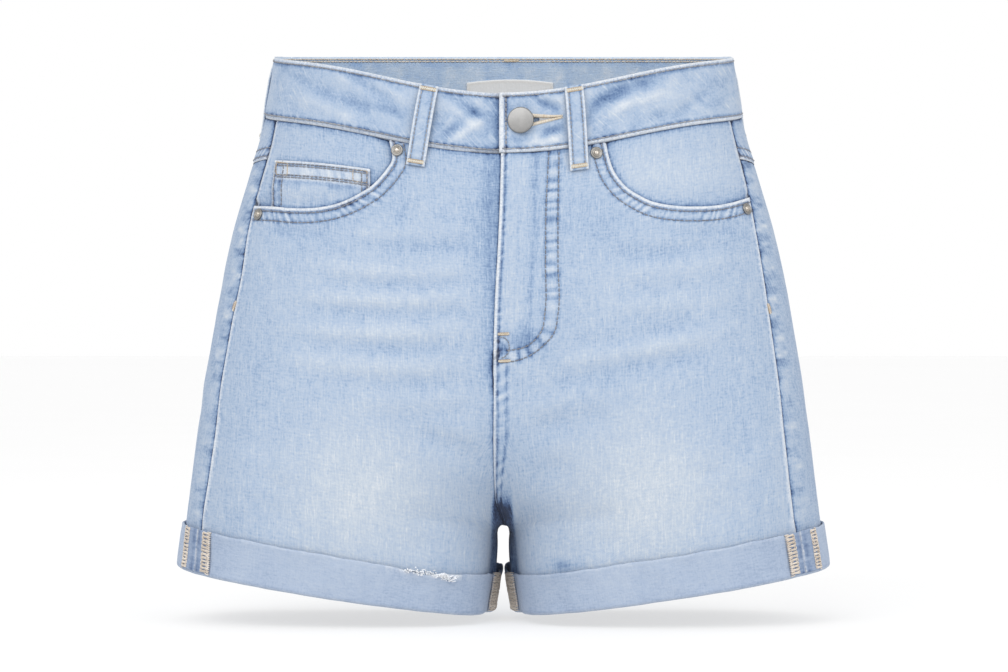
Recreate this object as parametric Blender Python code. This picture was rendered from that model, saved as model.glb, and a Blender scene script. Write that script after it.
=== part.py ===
"""Denim shorts: a hollow, filled-out pair with a lapped fly, curved pocket mouths and turned-up cuffs.

Metres, +Z up.  The front faces -Y, so the wearer's right is at -X and the wearer's left at +X.  The origin is the middle of
the waist opening, level with the top edge of the waistband at the sides: the place where a waist holds the garment.

Every cloth piece is a wall on one shared form.  The form is a family of sections, one per row of SECTIONS, each a rounded
oval round one leg.  Above the crotch the oval is cut by the centre plane, and the cut runs down the fork curve until front and
back meet at the crotch.  Below it the ovals are closed and stand a little apart.

A place on the form is (side, q, v):
  side  +1 wearer's left, -1 wearer's right
  q     0 centre front (or inseam) .. 1 side seam .. 2 centre back (or inseam), by arc length but near the crotch;
        below 0 or above 2 it carries on across the centre, on the other half
  v     height of the section where it meets the side, metres, 0 at the top of the waistband
A level is a distance along the outward normal.  Level 0 is the outer face of the leg panels.
"""

import math

import bpy
import numpy as np
from mathutils import Vector

MM = 0.001

# ---------------------------------------------------------------------------------------------------------------- sizes
CLOTH = 1.0 * MM  # one layer of cloth with its seam bulk
SEAM_GAP = 0.3 * MM  # between neighbouring pieces
BAND_HEIGHT = 40.3 * MM
BAND_OUT, BAND_IN = 0.9 * MM, -1.7 * MM  # the doubled waistband's faces
HEM = -339.5 * MM  # fold of the cuff, at the side
CUFF_TOP = -311.6 * MM
CROTCH_V = -285.7 * MM

# Sections from the waist to the hem, millimetres and degrees.
#   v       height at the side                    out     half width to the outer side
#   mid     middle of the leg's oval              front   depth of the front
#   back    depth of the back                     square  exponent of the oval (2 is an ellipse)
#   tilt    slope of the section, outer side up   dip     centre front below the side
#   rise    centre back above the side            seam_r, seam_l  side seam in from the outer side, seen from the front
#   shift   centre front seam to the wearer's right
SECTION_COLUMNS = ("v", "out", "mid", "front", "back", "square", "tilt", "dip", "rise", "seam_r", "seam_l", "shift")
SECTIONS = (
    (4.0, 152.0, 0.0, 74.6, 79.6, 2.02, 0.0, 29.0, 6.5, 8.5, 8.5, 1.0),
    (0.0, 152.8, 0.0, 75.0, 80.0, 2.02, 0.0, 29.0, 6.5, 8.5, 8.5, 1.0),
    (-12.0, 154.4, 0.0, 76.2, 81.6, 2.03, 0.0, 29.0, 6.5, 8.5, 8.5, 1.0),
    (-40.3, 159.4, 0.0, 80.0, 86.0, 2.05, 0.0, 28.0, 6.5, 8.5, 8.7, 1.0),
    (-56.0, 163.3, 0.0, 83.0, 91.0, 2.06, 0.0, 26.0, 6.0, 9.4, 9.1, 1.2),
    (-82.0, 170.7, 1.0, 87.0, 98.0, 2.10, 0.0, 22.0, 5.0, 9.8, 10.2, 1.8),
    (-116.0, 180.7, 5.0, 91.0, 105.0, 2.15, 0.4, 17.0, 4.0, 12.0, 14.0, 3.2),
    (-149.0, 188.0, 13.0, 94.0, 109.0, 2.20, 1.2, 11.0, 2.8, 14.8, 16.2, 4.8),
    (-183.0, 193.8, 27.0, 95.0, 110.0, 2.25, 2.6, 6.0, 1.6, 14.0, 17.4, 5.7),
    (-216.0, 199.4, 48.0, 94.0, 108.2, 2.30, 4.2, 2.0, 0.6, 14.0, 18.7, 6.0),
    (-250.0, 204.2, 76.5, 91.2, 103.0, 2.32, 5.9, 0.0, 0.0, 15.0, 20.2, 5.9),
    (-268.0, 206.4, 91.5, 89.0, 99.0, 2.33, 6.7, 0.0, 0.0, 14.6, 20.6, 5.2),
    (-285.7, 208.6, 102.0, 86.7, 94.6, 2.33, 7.3, 0.0, 0.0, 14.0, 21.0, 0.0),
    (-303.0, 210.9, 107.2, 84.3, 90.4, 2.33, 8.6, 0.4, 0.0, 13.4, 21.0, 0.0),
    (-311.6, 212.0, 108.8, 83.1, 88.4, 2.33, 9.3, 1.0, 0.0, 14.0, 20.4, 0.0),
    (-339.5, 215.2, 112.8, 79.5, 84.5, 2.33, 8.6, 1.2, 0.0, 15.2, 19.4, 0.0),
    (-345.0, 215.8, 113.4, 79.0, 84.0, 2.33, 8.5, 1.2, 0.0, 15.2, 19.4, 0.0),
)
# Clearance of a leg's innermost part from the centre plane, below the crotch, millimetres.
CLEARANCE_COLUMNS = ("v", "gap")
CLEARANCE = (
    (-345.0, 10.4), (-339.5, 9.6), (-311.6, 5.0), (-303.0, 5.0), (-291.0, 5.0), (-288.0, 4.0), (-286.5, 2.2), (-285.7, 0.0),
)
FORK = {"front": (90.0 * MM, 2.2), "back": (112.0 * MM, 2.1)}  # height of the fork curve over the crotch, its power
DIP_EVEN, DIP_POWER = 0.38, 5.5  # the waist line falls evenly from the side at first, and the rest close to the centre front
SHIFT_REACH = 50.0 * MM  # width over which the shift of the front seam fades
BACK_SHIFT, BACK_SHIFT_FROM, BACK_SHIFT_TO = 5.2 * MM, -216.0 * MM, -60.0 * MM  # centre back seam to the wearer's left, fading in over these heights
GAP_POWER = 5.0  # how closely the clearance between the legs keeps to their inner sides
RECESS, RECESS_WITHIN, RECESS_DEPTHS = 5.0 * MM, 26.0 * MM, (9.5 * MM, 46.0 * MM)  # below the crotch the front turns in sharply at the inseam
EVEN_FROM_TO = (-235.0 * MM, -300.0 * MM)  # heights between which the pieces' columns pass the crotch evenly
STRETCH_POWER = 7  # how closely the rest of a section's length keeps to the centre

# Pieces share these columns and rows, so that their flat facets lie on each other.
FRONT_COLUMNS = (0.0, 0.055, 0.12, 0.20, 0.29, 0.38, 0.47, 0.56, 0.65, 0.74, 0.83, 0.895, 0.945, 1.0)
BACK_COLUMNS = (1.0, 1.045, 1.10, 1.17, 1.25, 1.35, 1.45, 1.55, 1.65, 1.75, 1.83, 1.90, 1.95, 2.0)
ROWS_MM = (
    4.0, 0.0, -40.3, -57.0, -76.0, -97.0, -120.0, -143.0, -165.0, -183.0, -200.0, -219.0, -237.0, -253.0, -265.5, -275.0,
    -281.5, -284.7, -285.7, -288.0, -292.0, -300.0, -311.6, -325.0, -339.5, -345.0,
)
ROWS = tuple(v * MM for v in ROWS_MM)

# Fly: the right front carries on under the left one, down to the bottom of the fly.
LAP_REACH = 0.065  # how far the right front runs under the left, in q
LAP_FULL, LAP_END = -165.0 * MM, -183.0 * MM  # rows where the under-lap starts to narrow, and ends
LAP_LEVEL_END = -200.0 * MM  # row where both fronts lie level again
LAP_DROP = 1.4 * MM  # how far the right front dips to pass under

# Waistband ends, in q past the centre front, and the dip of the lower end.
BAND_OVER, BAND_UNDER, BAND_DROP = 0.012, 0.150, 3.0 * MM

# Button and buttonhole on the waistband: x across and share of the band's height from the top.
BUTTON_X, BUTTON_SHARE = 11.4 * MM, 0.47
HOLE_START, HOLE_SHANK, HOLE_END = -3.6 * MM, 3.8 * MM, 27.0 * MM  # from the button's middle
HOLE_HALF = {"shank": 3.3 * MM, "end": 0.6 * MM}

# Pocket mouths, seen from the front: x and z in mm from the centre and the side-top level, from the waistband outwards.
MOUTH_COLUMNS = ("x", "z")
MOUTH_RIGHT = (
    (74.6, -57.5), (72.6, -73.2), (76.2, -79.0), (80.6, -84.4), (86.4, -90.0), (93.6, -94.4), (101.0, -98.2), (109.6, -101.2),
    (119.2, -103.0), (129.5, -103.6), (140.0, -103.2), (150.4, -102.0), (161.0, -101.2), (171.0, -101.0),
)
MOUTH_LEFT = (
    (66.4, -59.8), (68.8, -72.0), (71.4, -79.4), (75.4, -85.6), (80.6, -91.0), (87.6, -95.4), (95.6, -99.2), (105.0, -101.4),
    (115.0, -102.4), (126.5, -102.4), (138.0, -101.6), (148.6, -99.6), (158.6, -96.6), (170.0, -94.2),
)
MOUTH_ROW = -120.0 * MM  # row below the mouths; the columns that follow a mouth end there
FACING_LAP = (0.060, 14.0 * MM)  # how far the facing runs on behind the mouth's edge: across in q, down in v

# Coin pocket on the right facing: its top corners seen from the front, x and z in mm.  Its lower part is behind the front panel.
COIN_TOP = ((86.6, -78.6), (150.1, -71.3))
COIN_DEPTH = 44.0 * MM

# Yoke seam on the back: from the side seam to the centre back.
YOKE_SIDE, YOKE_CENTRE = -66.0 * MM, -108.0 * MM

# Cuff section: level out from the panel and height above (or below) the fold, millimetres, once round.
CUFF_COLUMNS = ("level", "up")
CUFF_SECTION = ((0.9, 27.9), (2.5, 27.9), (3.1, 2.0), (2.5, -0.5), (0.7, -1.1), (-1.1, -0.5), (-1.4, 0.3), (0.35, 0.6))
CUFF_OUT_TOP, CUFF_OUT_FOLD = 2.5 * MM, 3.1 * MM
PANEL_END = HEM + 1.1 * MM

# Belt loops: place at the top and bottom as q, width, and how far they stand off on the way down.
LOOP_WIDTH, LOOP_THICK = 12.4 * MM, 1.6 * MM
LOOP_COLUMNS = ("down", "off")
LOOP_RISE = ((0.2, 1.35), (3.5, 1.5), (9.0, 2.5), (18.0, 3.3), (29.0, 3.2), (38.0, 2.6), (44.0, 1.9), (50.0, 1.1), (56.0, 0.75))
LOOPS = (  # name, side, x (or q) at the top, at the bottom, length in mm, measured by
    ("belt_loop_front_right", -1, 48.0 * MM, 57.0 * MM, 56.0 * MM, "x"),
    ("belt_loop_front_left", 1, 45.4 * MM, 49.0 * MM, 58.0 * MM, "x"),
    ("belt_loop_side_right", -1, 1.200, 1.200, 56.0 * MM, "q"),
    ("belt_loop_side_left", 1, 1.220, 1.220, 56.0 * MM, "q"),
    ("belt_loop_back", 1, 2.0, 2.0, 56.0 * MM, "q"),
)

# Bare label inside the back of the waistband.
LABEL_WIDTH, LABEL_TOP, LABEL_BOTTOM = 59.0 * MM, -17.5 * MM, -56.0 * MM
LABEL_LEVELS = (-2.0 * MM, -2.9 * MM)

# Turned metal parts: radius and height over the panel's outer face, millimetres, once round the half section.
TURN_COLUMNS = ("radius", "height")
BUTTON_PROFILE = (
    (0.0, -1.75), (2.6, -1.75), (2.6, 1.35), (7.6, 1.35), (8.4, 1.9), (8.6, 2.7), (8.1, 3.5), (7.2, 3.85), (6.2, 3.7), (3.2, 3.9),
    (0.0, 4.0),
)
RIVET_PROFILE = ((0.0, 0.35), (3.8, 0.35), (4.0, 0.9), (3.3, 1.5), (2.5, 1.2), (1.8, 1.3), (1.2, 2.1), (0.0, 2.3))
RIVETS = (  # name, side, x, z in mm, seen from the front
    ("rivet_right_inner", -1, 68.9, -66.6),
    ("rivet_right_outer", -1, 161.0, -107.0),
    ("rivet_left_inner", 1, 60.1, -68.4),
    ("rivet_left_outer", 1, 159.8, -103.4),
)

# Colour, roughness, metallic.
LOOKS = {
    "denim": ((0.36, 0.50, 0.70), 0.92, 0.0),
    "denim_reverse": ((0.42, 0.53, 0.68), 0.94, 0.0),
    "overlock": ((0.62, 0.55, 0.46), 0.95, 0.0),
    "label": ((0.70, 0.66, 0.60), 0.85, 0.0),
    "metal": ((0.55, 0.55, 0.54), 0.35, 1.0),
}


# ----------------------------------------------------------------------------------------------------------------- form
def slopes(x, y):
    """Tangents of a curve through (x, y) that never overshoots its points."""
    h, d = np.diff(x), np.diff(y) / np.diff(x)
    m = np.zeros_like(y)
    for i in range(1, len(y) - 1):
        if d[i - 1] * d[i] > 0:
            w1, w2 = 2 * h[i] + h[i - 1], h[i] + 2 * h[i - 1]
            m[i] = (w1 + w2) / (w1 / d[i - 1] + w2 / d[i])
    m[0], m[-1] = d[0], d[-1]
    return m


def through(x, y, at):
    """The smooth curve through the points (x, y), x rising, read at `at`."""
    x, y, at = np.asarray(x, float), np.asarray(y, float), np.clip(at, x[0], x[-1])
    m = slopes(x, y)
    i = np.clip(np.searchsorted(x, at, side="right") - 1, 0, len(x) - 2)
    h = x[i + 1] - x[i]
    t = (at - x[i]) / h
    return (
        y[i] * (1 + 2 * t) * (1 - t) ** 2 + m[i] * h * t * (1 - t) ** 2
        + y[i + 1] * t * t * (3 - 2 * t) + m[i + 1] * h * t * t * (t - 1)
    )


def section_values(v):
    """The named values of the section at height v, in metres and radians."""
    table = np.array(SECTIONS[::-1], float)
    out = {}
    for k, name in enumerate(SECTION_COLUMNS):
        scale = {"square": 1.0, "tilt": math.pi / 180}.get(name, MM)
        out[name] = float(through(table[:, 0] * MM, table[:, k] * scale, v))
    out["v"] = v
    return out


def centre_height(v):
    s = section_values(v)
    return v - s["dip"] - math.tan(s["tilt"]) * s["out"]


CROTCH_Z = centre_height(CROTCH_V)


def fork_ratio(v, part, square):
    """How far round its oval the section runs before the centre plane cuts it: 0 at its deepest point, 1 at the inseam."""
    if v <= CROTCH_V:
        return 1.0
    height, power = FORK[part]
    h = min((centre_height(v) - CROTCH_Z) / height, 1.0)
    depth = (1 - (1 - h) ** power) ** (1 / power)
    return max(1 - depth**square, 0.0) ** (1 / square)


def half_section(side, v, part, samples=140):
    """Points of one quarter of the section, from the centre plane (or inseam) to the outer side."""
    s = section_values(v)
    deep = s[part]
    ratio = max(fork_ratio(v, part, s["square"]), 0.03)
    inner = s["mid"] / ratio
    turn = math.pi - math.acos(ratio ** (s["square"] / 2))  # angle where the centre plane cuts the oval
    angles = np.concatenate([np.linspace(turn, math.pi / 2, samples), np.linspace(math.pi / 2, 0, samples)[1:]])
    c, n = np.cos(angles), 2 / s["square"]
    x = s["mid"] + np.where(c > 0, (s["out"] - s["mid"]), inner) * np.sign(c) * np.abs(c) ** n
    y = deep * np.abs(np.sin(angles)) ** n
    x = np.maximum(x, 0.0)
    if v < CROTCH_V:  # only the innermost part of the leg draws back from the centre plane
        gap = float(np.interp(v, [r[0] * MM for r in CLEARANCE], [r[1] * MM for r in CLEARANCE]))
        x = x + gap * np.clip(1 - x / s["mid"], 0, 1) ** GAP_POWER
    if part == "front" and v < CROTCH_V:
        t = min((CROTCH_V - v) / RECESS_WITHIN, 1.0)
        near_seam = np.clip(-3 * c, 0, 1) * (1 - np.exp(-((y / RECESS_DEPTHS[0]) ** 2))) * np.exp(-((y / RECESS_DEPTHS[1]) ** 2))
        x = x + RECESS * t * t * (3 - 2 * t) * near_seam
    if part == "front":
        lift = -s["dip"] * (DIP_EVEN * y / deep + (1 - DIP_EVEN) * (y / deep) ** DIP_POWER)
        y = -y
    else:
        lift = s["rise"] * y / deep
    z = v + lift - math.tan(s["tilt"]) * (s["out"] - x)
    if part == "front":  # the centre front seam wanders to the wearer's right
        x = x - side * s["shift"] * np.exp(-((x / SHIFT_REACH) ** 2))
    else:
        t = min(max((v - BACK_SHIFT_FROM) / (BACK_SHIFT_TO - BACK_SHIFT_FROM), 0.0), 1.0)
        x = x + side * BACK_SHIFT * t * t * (3 - 2 * t) * np.exp(-((x / SHIFT_REACH) ** 2))
    return np.stack([x * side, y, z], 1)


def distances(points):
    return np.concatenate([[0], np.cumsum(np.linalg.norm(np.diff(points, axis=0), axis=1))])


def by_length(points, count, even, from_seam):
    """The polyline read at `count` places, spaced as on a line of the length `even` near the side seam.

    What the line's own length is more or less than that falls close to its other end."""
    along = distances(points)
    share = np.linspace(0, 1, count) if from_seam else np.linspace(1, 0, count)
    away = share * even + (along[-1] - even) * share**STRETCH_POWER
    at = away if from_seam else along[-1] - away
    return np.stack([np.interp(at, along, points[:, k]) for k in range(3)], 1)


class Form:
    """The whole surface as a fine grid of points and normals for each side, and how to read it."""

    COUNT = 161

    def __init__(self):
        upper = [4.0 * MM - k * 2.0 * MM for k in range(int((4.0 * MM - CROTCH_V - 30 * MM) / (2 * MM)))]
        near = [CROTCH_V + 34 * MM * (1 - k / 60) ** 2 for k in range(61)]
        below = [CROTCH_V - 8 * MM * (k / 16) ** 1.5 for k in range(1, 17)]
        rest = list(np.linspace(CROTCH_V - 9.5 * MM, -346 * MM, 34))
        rows = sorted({round(v, 7) for v in upper + near + below + rest + [CROTCH_V, *ROWS]}, reverse=True)
        self.rows = np.array([v for i, v in enumerate(rows) if i == 0 or rows[i - 1] - v > 1e-5])
        self.grid, self.normal, self.length = {}, {}, {}
        for side in (1, -1):
            lines = {"front": [], "back": []}
            for v in self.rows:
                s = section_values(v)
                front, back = half_section(side, v, "front"), half_section(side, v, "back")
                seam_x = s["out"] - s["seam_l" if side > 0 else "seam_r"]
                x = np.abs(front[:, 0])
                k = int(np.argmax((x >= seam_x) & (np.arange(len(x)) > len(x) // 2)))
                t = (seam_x - x[k - 1]) / (x[k] - x[k - 1])
                seam = front[k - 1] + t * (front[k] - front[k - 1])
                lines["front"].append(np.vstack([front[:k], seam]))
                lines["back"].append(np.vstack([seam, front[k:], back[::-1][1:]]))
            halves = {}
            for name, found in lines.items():
                length = np.array([distances(line)[-1] for line in found])
                marks = [int(np.argmin(abs(self.rows - v))) for v in EVEN_FROM_TO]
                even = length.copy()  # the sections lengthen suddenly at the crotch: the seam side passes it evenly
                inside = slice(marks[0], marks[1] + 1)
                even[inside] = np.interp(-self.rows[inside], [-self.rows[m] for m in marks], [length[m] for m in marks])
                halves[name] = [by_length(line, self.COUNT, e, name == "back") for line, e in zip(found, even)]
                self.length.setdefault(side, {})[name] = length
            grid = np.concatenate([np.array(halves["front"]), np.array(halves["back"])[:, 1:]], 1)
            along_q = np.gradient(grid, axis=1)
            along_v = np.gradient(grid, self.rows, axis=0)
            normal = np.cross(along_v, along_q) * -side
            normal /= np.maximum(np.linalg.norm(normal, axis=2, keepdims=True), 1e-12)
            self.grid[side], self.normal[side] = grid, normal

    def span(self, side, part, v):
        """Length of the section's front (centre to side seam) or back at height v."""
        return float(np.interp(-v, -self.rows, self.length[side][part]))

    def read(self, side, q, v):
        i = float(np.interp(-v, -self.rows, np.arange(len(self.rows))))
        j = q * (self.COUNT - 1)
        grid, normal = self.grid[side], self.normal[side]
        i0, j0 = min(int(i), grid.shape[0] - 2), min(max(int(j), 0), grid.shape[1] - 2)
        a, b = i - i0, j - j0
        out = []
        for field in (grid, normal):
            out.append(
                field[i0, j0] * (1 - a) * (1 - b) + field[i0, j0 + 1] * (1 - a) * b
                + field[i0 + 1, j0] * a * (1 - b) + field[i0 + 1, j0 + 1] * a * b
            )
        return out[0], out[1] / np.linalg.norm(out[1])


class Facets:
    """The form as flat facets between the shared columns and rows."""

    def __init__(self, form):
        self.form = form
        self.columns = np.array(FRONT_COLUMNS + BACK_COLUMNS[1:])
        self.rows = np.array(ROWS)
        self.point, self.normal = {}, {}
        for side in (1, -1):
            read = [[form.read(side, q, v) for q in self.columns] for v in self.rows]
            self.point[side] = np.array([[p for p, _ in row] for row in read])
            self.normal[side] = np.array([[n for _, n in row] for row in read])

    def read(self, side, q, v):
        if q < 0:
            side, q = -side, -q
        elif q > 2:
            side, q = -side, 4 - q
        i = float(np.interp(-v, -self.rows, np.arange(len(self.rows))))
        j = float(np.interp(q, self.columns, np.arange(len(self.columns))))
        i0, j0 = min(int(i), len(self.rows) - 2), min(int(j), len(self.columns) - 2)
        a, b = i - i0, j - j0
        out = []
        for field in (self.point[side], self.normal[side]):
            out.append(
                field[i0, j0] * (1 - a) * (1 - b) + field[i0, j0 + 1] * (1 - a) * b
                + field[i0 + 1, j0] * a * (1 - b) + field[i0 + 1, j0 + 1] * a * b
            )
        return out[0], out[1] / np.linalg.norm(out[1])

    def place(self, side, q, v, level=0.0, apart=0.0):
        p, n = self.read(side, q, v)
        p = p + n * level
        return np.array([p[0] + side * apart, p[1], p[2]])

    def locate(self, side, x, z):
        """(q, v) of the front's point at distance x from the centre plane and height z, seen from the front."""
        q, v = 0.5, z
        for _ in range(40):
            p = self.place(side, q, v)
            ex, ez = x - side * p[0], z - p[2]
            if abs(ex) + abs(ez) < 1e-7:
                break
            pq, pv = self.place(side, q + 1e-4, v), self.place(side, q, v - 1e-5)
            a = np.array([[side * (pq - p)[0] / 1e-4, side * (pv - p)[0] / -1e-5], [(pq - p)[2] / 1e-4, (pv - p)[2] / -1e-5]])
            dq, dv = np.linalg.solve(a, [ex, ez])
            q = min(max(q + max(min(dq, 0.15), -0.15), 0.0), 1.0)
            v = min(v + max(min(dv, 0.03), -0.03), 0.0)
        return q, v

    def across(self, side, x, v):
        """q of the front's point at distance x from the centre plane on row v."""
        low, high = 0.0, 1.0
        for _ in range(50):
            q = (low + high) / 2
            low, high = (q, high) if side * self.place(side, q, v)[0] < x else (low, q)
        return q


FORM = Form()
FACETS = Facets(FORM)


# --------------------------------------------------------------------------------------------------------------- solids
def material(name, look):
    colour, rough, metal = LOOKS[look]
    made = bpy.data.materials.new(name)
    made.use_nodes = True
    shader = made.node_tree.nodes["Principled BSDF"]
    shader.inputs["Base Color"].default_value = (*colour, 1)
    shader.inputs["Roughness"].default_value = rough
    shader.inputs["Metallic"].default_value = metal
    made.diffuse_color = (*colour, 1)
    return made


def volume(points, faces):
    p = np.asarray(points)
    return sum(np.dot(p[a], np.cross(p[b], p[c])) for a, b, c in faces) / 6


def solid(name, points, faces, look):
    """One closed body from points and triangles, faces turned outwards."""
    if volume(points, faces) < 0:
        faces = [(a, c, b) for a, b, c in faces]
    mesh = bpy.data.meshes.new(name)
    mesh.from_pydata([tuple(float(x) for x in p) for p in points], [], [tuple(f) for f in faces])
    mesh.validate()
    mesh.shade_smooth()
    mesh.set_sharp_from_angle(angle=math.radians(40))
    made = bpy.data.objects.new(name, mesh)
    made.data.materials.append(material("mat_" + name, look))
    bpy.context.scene.collection.objects.link(made)
    return made


def clip(polygon, inside):
    """The part of a convex polygon of (q, v) where inside(v) >= 0; inside is linear in v."""
    out = []
    for k, a in enumerate(polygon):
        b = polygon[(k + 1) % len(polygon)]
        fa, fb = inside(a[1]), inside(b[1])
        if fa >= -1e-12:
            out.append(a)
        if (fa > 1e-12 and fb < -1e-12) or (fa < -1e-12 and fb > 1e-12):
            t = fa / (fa - fb)
            out.append((a[0] + t * (b[0] - a[0]), a[1] + t * (b[1] - a[1])))
    return out


def tidy(polygon, places=8):
    out = []
    for q, v in polygon:
        key = (round(q, places), round(v, places))
        if key not in out:
            out.append(key)
    return out if len(out) > 2 else None


def area(polygon):
    return 0.5 * abs(sum(a[0] * b[1] - b[0] * a[1] for a, b in zip(polygon, polygon[1:] + polygon[:1])))


def widen(found, extra):
    """Adds the places in `extra` that lie on a cell's side or top, and starts the cell at a corner away from them."""
    out = []
    for cell in found:
        loop, started = [], None
        for a, b in zip(cell, cell[1:] + cell[:1]):
            loop.append(a)
            hits = []
            for p in extra:
                along = (b[0] - a[0], b[1] - a[1])
                to = (p[0] - a[0], p[1] - a[1])
                length = along[0] ** 2 + along[1] ** 2
                t = (along[0] * to[0] + along[1] * to[1]) / length
                if 1e-6 < t < 1 - 1e-6 and abs(along[0] * to[1] - along[1] * to[0]) < 1e-9:
                    hits.append((t, p))
            if hits:
                started = (a, b)
                loop += [p for _, p in sorted(hits)]
        if started:
            far = [k for k, p in enumerate(loop) if p in cell and p not in started]
            loop = loop[far[0]:] + loop[: far[0]]
        out.append(loop)
    return out


def cells(columns, rows, top, bottom):
    """Polygons of (q, v) that fill the space between the lines top(q) and bottom(q), cut at each column and row."""
    found = []
    for qa, qb in zip(columns, columns[1:]):
        quad = [(qa, top(qa)), (qa, bottom(qa)), (qb, bottom(qb)), (qb, top(qb))]
        high, low = max(p[1] for p in quad), min(p[1] for p in quad)
        marks = [high] + [v for v in rows if low + 1e-9 < v < high - 1e-9] + [low]
        for upper, lower in zip(marks, marks[1:]):
            piece = clip(clip(quad, lambda v: upper - v), lambda v: v - lower)
            piece = tidy(piece) if piece else None
            if piece and area(piece) > 1e-9:
                found.append(piece)
    return found


def slab(name, polygons, outer, inner, look, apart=0.0, remap=None):
    """A closed wall over polygons of (side, q, v), between the levels outer(side, q, v) and inner(side, q, v)."""
    index, places, faces, edges = {}, [], [], {}

    def number(place):
        side, q, v = place
        if remap:
            side, q, v = remap(side, q, v)
        if abs(q - 2) < 1e-9:
            side = 1
        key = (side, round(q, 7), round(v, 7))
        if key not in index:
            index[key] = len(places)
            places.append((place[0], side, q, v))
        return index[key]

    for polygon in polygons:
        loop = []
        for place in polygon:
            k = number(place)
            if k not in loop:
                loop.append(k)
        if len(loop) < 3:
            continue
        if polygon[0][0] < 0:
            loop = [loop[0]] + loop[:0:-1]
        for a, b in zip(loop, loop[1:] + loop[:1]):
            edges[(a, b)] = edges.get((a, b), 0) + 1
        faces += fan(loop)
    count = len(places)
    points = []
    for level in (outer, inner):
        for own, side, q, v in places:
            p = FACETS.place(side, q, v, level(own, q, v))
            points.append((p[0] + own * apart, p[1], p[2]))
    body = list(faces) + [(c + count, b + count, a + count) for a, b, c in faces]
    for a, b in edges:
        if (b, a) not in edges:
            body += [(b, a, a + count), (b, a + count, b + count)]
    return solid(name, points, body, look)


def fan(loop):
    """Triangles of a convex loop; four corners are cut the same way everywhere."""
    return [(loop[0], loop[k], loop[k + 1]) for k in range(1, len(loop) - 1)]


def turned(name, profile, origin, axis, segments, look):
    """A closed solid of revolution of a half section (radius, height) about an axis."""
    axis = Vector(axis).normalized()
    across = axis.orthogonal().normalized()
    other = axis.cross(across)
    points, rings = [], []
    for radius, height in profile:
        if radius == 0:
            rings.append([len(points)])
            points.append(Vector(origin) + axis * height * MM)
        else:
            ring = []
            for k in range(segments):
                turn = 2 * math.pi * k / segments
                ring.append(len(points))
                points.append(Vector(origin) + axis * height * MM + (across * math.cos(turn) + other * math.sin(turn)) * radius * MM)
            rings.append(ring)
    faces = []
    for one, two in zip(rings, rings[1:]):
        for k in range(segments):
            a, b = one[k % len(one)], one[(k + 1) % len(one)]
            c, d = two[k % len(two)], two[(k + 1) % len(two)]
            if a != b:
                faces.append((a, b, d if c != d else c))
            if c != d:
                faces.append((a, d, c))
    return solid(name, points, faces, look)


def smooth(t):
    t = min(max(t, 0.0), 1.0)
    return t * t * (3 - 2 * t)


def between(value, start, end):
    """0 at start, 1 at end, linear."""
    return min(max((value - start) / (end - start), 0.0), 1.0)


# --------------------------------------------------------------------------------------------------------------- pieces
def gap_in_q(side, part, v):
    return SEAM_GAP / 2 / FORM.span(side, part, v)


def front_edges(side, q, v):
    """Keeps a front piece's columns clear of the side seam and, below the crotch, of the inseam."""
    g = gap_in_q(side, "front", v)
    return side, min(max(q, g if v <= CROTCH_V + 1e-9 else -1), 1 - g), v


def back_edges(side, q, v):
    g = gap_in_q(side, "back", v)
    return side, min(max(q, 1 + g), 2 - g if v <= CROTCH_V + 1e-9 else 2), v


def lap_reach(v):
    """How far in q the right front runs past the centre at height v."""
    return LAP_REACH * between(v, LAP_END, LAP_FULL)


def lap_drop(q, v):
    """How far the right front dips under the left one."""
    return LAP_DROP * between(q, 0.12, 0.0) * between(v, LAP_LEVEL_END, LAP_END)


def mouth_line(side):
    """The pocket mouth's edge as (q, v), from the waistband to the side seam."""
    table = MOUTH_RIGHT if side < 0 else MOUTH_LEFT
    line = [FACETS.locate(side, x * MM, z * MM) for x, z in table]
    line = [p for p in line if p[0] < 0.992]
    start = (line[0][0] - 0.001, -BAND_HEIGHT)
    slope = (line[-1][1] - line[-2][1]) / (line[-1][0] - line[-2][0])
    end = (1.0, line[-1][1] + slope * (1 - line[-1][0]))
    middle = []
    for q, v in line[1:]:  # the edge may not turn back on itself
        if q > (middle[-1][0] if middle else start[0]) + 1e-3:
            middle.append((q, v))
    return [start, *middle, end]


def line_value(line, q):
    return float(np.interp(q, [p[0] for p in line], [p[1] for p in line]))


def front_panel(side):
    line = mouth_line(side)
    start = line[0][0]
    band = -BAND_HEIGHT - SEAM_GAP
    hem = PANEL_END

    def top(q):
        return band if q <= start + 1e-9 else min(band, line_value(line, q))

    columns = sorted({round(q, 8) for q in (*FRONT_COLUMNS, *(p[0] for p in line))})
    columns = [q for k, q in enumerate(columns) if k == 0 or q - columns[k - 1] > 2e-3 or q in FRONT_COLUMNS]
    found = cells(columns, ROWS, top, lambda q: MOUTH_ROW)
    lower = cells(FRONT_COLUMNS, ROWS, lambda q: MOUTH_ROW, lambda q: hem)
    found += widen(lower, [(q, round(MOUTH_ROW, 8)) for q in columns if q not in FRONT_COLUMNS])
    if side < 0:
        found += cells([-LAP_REACH, 0.0], ROWS, lambda q: band, lambda q: LAP_END)

    def remap(s, q, v):
        if q < 0:
            return s, q / LAP_REACH * lap_reach(v), v
        return front_edges(s, q, v)

    def outer(s, q, v):
        return -lap_drop(q, v) if s < 0 else 0.0

    name = "front_panel_left" if side > 0 else "front_panel_right"
    return slab(
        name, [[(side, q, v) for q, v in p] for p in found], outer, lambda s, q, v: outer(s, q, v) - CLOTH, "denim",
        apart=SEAM_GAP / 2, remap=remap,
    )


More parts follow.
